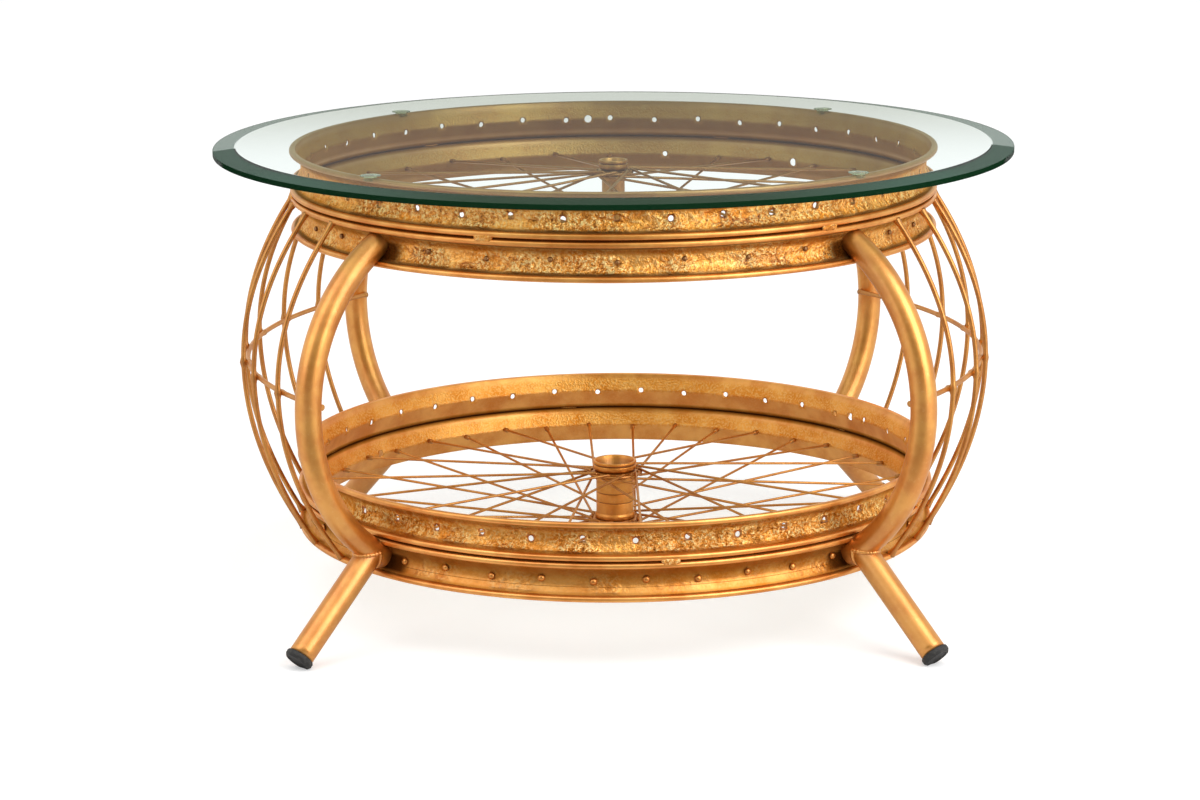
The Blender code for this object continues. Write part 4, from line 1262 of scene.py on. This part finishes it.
def wireShell(azimuth, number):
    # bowed out over the hoop by r = top - drop u^2, where u runs from -1 at the upper lip to 1 at the lower
    # one, with its ends carried on into the lips
    offset = wireOffset(number)
    lip = rimHalf - rimShape["lipHeight"]
    apex = hoopRadius(offset) + 2 * wireShape["radius"]
    rise = apex - rimRadius + wireShape["tuck"]
    share = np.linspace(-1.0, 1.0, wireShape["stations"])
    end = np.where(share < 0.0, upperMiddle + lip, lowerMiddle - lip)
    height = hoopHeight + (end - hoopHeight) * np.abs(share)
    path = polar(apex - rise * share ** 2, azimuth + offset, height)
    seat = tangents(path)[[0, -1]] * wireShape["seat"] * np.array([[-1.0], [1.0]])
    path = np.concatenate([path[:1] + seat[:1], path, path[-1:] + seat[1:]])
    length = np.concatenate([[0.0], np.cumsum(np.linalg.norm(np.diff(path, axis=0), axis=1))])
    lump = lumps(length, [0.0, length[-1], length[len(length) // 2]])
    across = polar(1.0, azimuth + offset + 90.0, 0.0)
    return weldedWire(path, lump, wireShape["wireWeld"], wireShape["wireSeed"] + number, across)


for side, azimuth in sides.items():
    hoopName = "side_hoop_" + side
    newPiece(hoopName + "_welded", [hoopShell(azimuth)], goldWire, [hoopName])
    for number in range(1, wireShape["perSide"] + 1):
        wireName = "side_wire_%s_%d" % (side, number)
        newPiece(wireName + "_bowed", [wireShell(azimuth, number)], goldWire, [wireName])
print("side baskets made")


# Glass and its bumpers

# lengths in millimetres
glassShape = {"diameter": 800.0, "thickness": 8.0, "bevelWidth": 22.5, "bevelDrop": 3.0, "arris": 0.5,
              "columns": 256, "sharp": 3.0}
bumperShape = {"rise": 1.8, "skirt": 3.4, "cup": 10.0, "neck": 5.0, "foot": 6.2, "columns": 40}


def glassShell():
    # turned outline of the bevelled sheet, with the arris along its edges softly ground
    shape = glassShape
    radius = shape["diameter"] / 2
    bevelStart = radius - shape["bevelWidth"]
    top = shape["thickness"]
    corners = [
        (bevelStart - 1.0, top, 0.0), (bevelStart, top, 0.8),
        (radius, top - shape["bevelDrop"], shape["arris"]), (radius, 0.0, shape["arris"]),
        (radius - 1.5, 0.0, 0.0),
    ]
    # rings on both faces keep the flat of the sheet flat
    face = np.array([(1.0, top), (0.5 * bevelStart, top), (bevelStart - 2.5, top)])
    back = np.array([(radius - 3.0, 0.0), (0.5 * bevelStart, 0.0), (1.0, 0.0)])
    outline = np.concatenate([face, roundedOutline(corners), back]) * mm
    outline[:, 1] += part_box("glass_top")[0].z
    return turned(outline, shape["columns"])


def bumperShell(place, azimuth):
    # suction cup: wide lip against the glass, a neck, and a skirt over the rim's bead
    shape = bumperShape
    rise, cup, foot, skirt = shape["rise"], shape["cup"], shape["foot"], shape["skirt"]
    corners = [
        (0.3, rise, 0.0), (cup, rise, 0.25), (cup - 0.2, 1.2, 0.3), (shape["neck"] + 0.4, 0.5, 1.0),
        (foot, -0.9, 0.6), (foot + 0.5, -skirt, 0.4), (0.3, -skirt, 0.0),
    ]
    outline = roundedOutline(corners, 4) * mm
    outline[:, 1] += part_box("glass_bumper_" + place)[1].z - rise * mm
    turn = np.eye(4)
    turn[:3, 3] = polar(rimRadius - rimShape["lipDepth"] / 2, azimuth, 0.0)
    return turned(outline, shape["columns"], turn)


newPiece("glass_top_bevelled", [glassShell()], glassClear, ["glass_top"], "glass",
         sharp=glassShape["sharp"])
for place, azimuth in legAzimuths.items():
    bumperNode = "glass_bumper_" + place
    newPiece(bumperNode + "_soft", [bumperShell(place, azimuth)], siliconeClear,
             [bumperNode])
print("glass and bumpers made")


# Floor, light and camera

studio = {
    "floorHalf": 16.0,
    "floorColour": (0.80, 0.80, 0.80),
    "floorSpeck": (0.79, 0.79, 0.79),
    "floorGlow": 0.35,
    "ambient": 0.55,
    "darkBand": (-2.1, -0.5),        # far and near edge of a dark strip of floor that only the gold mirrors
    "bandFades": (0.2, 0.1),         # half widths of those two edges
    "bandSides": (0.40, 0.85),       # where that strip fades out to the left and the right
    "bandColour": (0.25, 0.25, 0.25),
    "frontDark": 0.11,               # level of the mirrored world on the camera's side
    "frontReach": (-0.85, -0.05),
    "frontLift": 0.85,               # how much of that dark is lifted higher up
    "liftHeights": (0.30, 0.60),
    "topDim": 0.36,
    "dimHeights": (0.45, 0.9),
}
lamps = {
    "leftSoftbox": {"place": (-2.3, -1.6, 1.8), "size": (2.0, 2.8), "power": 22.0},
    "rightSoftbox": {"place": (2.0, -1.9, 1.8), "size": (2.2, 3.0), "power": 80.0},
}
lampTarget = (0.0, 0.0, 0.25)
skylight = {"strength": 0.85, "angle": 60.0, "tilt": (12.0, -8.0)}


def floorPiece():
    half = studio["floorHalf"]
    mesh = bpy.data.meshes.new("pale_floor")
    mesh.from_pydata([(-half, -half, 0.0), (half, -half, 0.0), (half, half, 0.0), (-half, half, 0.0)],
                     [], [(0, 1, 2, 3)])
    floor = placed("pale_floor", mesh)
    material, shade = newMaterial("pale_floor")
    through = shade.ray("Is Transmission Ray")
    seen = shade.ray("Is Camera Ray").most(through)
    mirrored = (shade.ray("Is Glossy Ray") - through).most(0.0)
    depth = shade.axis("Y")
    (far, near), (farFade, nearFade) = studio["darkBand"], studio["bandFades"]
    band = mirrored * depth.between(far - farFade, far + farFade)
    band = band * (1.0 - depth.between(near - nearFade, near + nearFade))
    band = band * (1.0 - shade.math("ABSOLUTE", shade.axis("X")).between(*studio["bandSides"]))
    colour = shade.noise(0.02, 2.0).blend(studio["floorColour"], studio["floorSpeck"])
    setShader(material, {
        "Base Color": band.blend(colour, studio["bandColour"]),
        "Roughness": 0.9,
        "Specular IOR Level": 0.0,
        "Emission Color": seen.blend((0.0, 0.0, 0.0), (studio["floorGlow"],) * 3),
        "Emission Strength": 1.0,
    })
    mesh.materials.append(material)


def studioWorld():
    # white for what is seen; for mirrored light dark on the camera's side and dimmer overhead; else plain
    world = bpy.data.worlds.new("studio")
    bpy.context.scene.world = world
    world.use_nodes = True
    tree = world.node_tree
    tree.nodes.clear()
    shade = Shade(tree)
    through = shade.ray("Is Transmission Ray")
    mirrored = (shade.ray("Is Glossy Ray") - through).most(0.0)
    seen = shade.ray("Is Camera Ray").most(mirrored).most(through)
    direction = shade.node("TexCoord", output="Generated")
    depth, height = (shade.node("SeparateXYZ", {}, {"Vector": direction}, name) for name in ("Y", "Z"))
    front = 1.0 - depth.between(*studio["frontReach"])
    front = front * (1.0 - studio["frontLift"] * height.between(*studio["liftHeights"]))
    overhead = 1.0 - studio["topDim"] * height.between(*studio["dimHeights"])
    level = (1.0 - (1.0 - studio["frontDark"]) * front) * overhead
    level = level * mirrored + (1.0 - mirrored)
    strength = level * seen + studio["ambient"] * (1.0 - seen)
    background = shade.node("Background", {}, {"Color": (1.0, 1.0, 1.0), "Strength": strength})
    output = tree.nodes.new("ShaderNodeOutputWorld")
    tree.links.new(background.socket, output.inputs["Surface"])


def lookAt(place, target):
    # a lamp shines along its own -Z axis
    back = unit(np.subtract(place, target))
    right = unit(np.cross((0.0, 0.0, 1.0), back))
    matrix = np.eye(4)
    matrix[:3, :3] = np.column_stack([right, np.cross(back, right), back])
    matrix[:3, 3] = place
    return Matrix(matrix.tolist())


floorPiece()
studioWorld()
for lampName, lamp in lamps.items():
    light = bpy.data.lights.new(lampName, "AREA")
    light.shape = "RECTANGLE"
    light.size, light.size_y = lamp["size"]
    light.energy = lamp["power"]
    placed(lampName, light, lookAt(lamp["place"], lampTarget))
sky = bpy.data.lights.new("skylight", "SUN")
sky.energy = skylight["strength"]
sky.angle = math.radians(skylight["angle"])
tiltX, tiltY = np.radians(skylight["tilt"])
placed("skylight", sky, Matrix.Rotation(tiltX, 4, "X") @ Matrix.Rotation(tiltY, 4, "Y"))

camera = {"place": (-0.0148, -3.0155, 0.8830), "pitch": 0.2259, "roll": -0.0062, "lens": 90.53,
          "sensor": 36.0, "farthest": 60.0}
cameraData = bpy.data.cameras.new("photo_camera")
cameraData.lens = camera["lens"]
cameraData.sensor_width = camera["sensor"]
cameraData.clip_end = camera["farthest"]
turn = Matrix.Rotation(math.pi / 2 - camera["pitch"], 4, "X") @ Matrix.Rotation(camera["roll"], 4, "Z")
bpy.context.scene.camera = placed("photo_camera", cameraData, Matrix.Translation(camera["place"]) @ turn)
bpy.context.scene.view_settings.view_transform = "Standard"
print("floor, light and camera made")
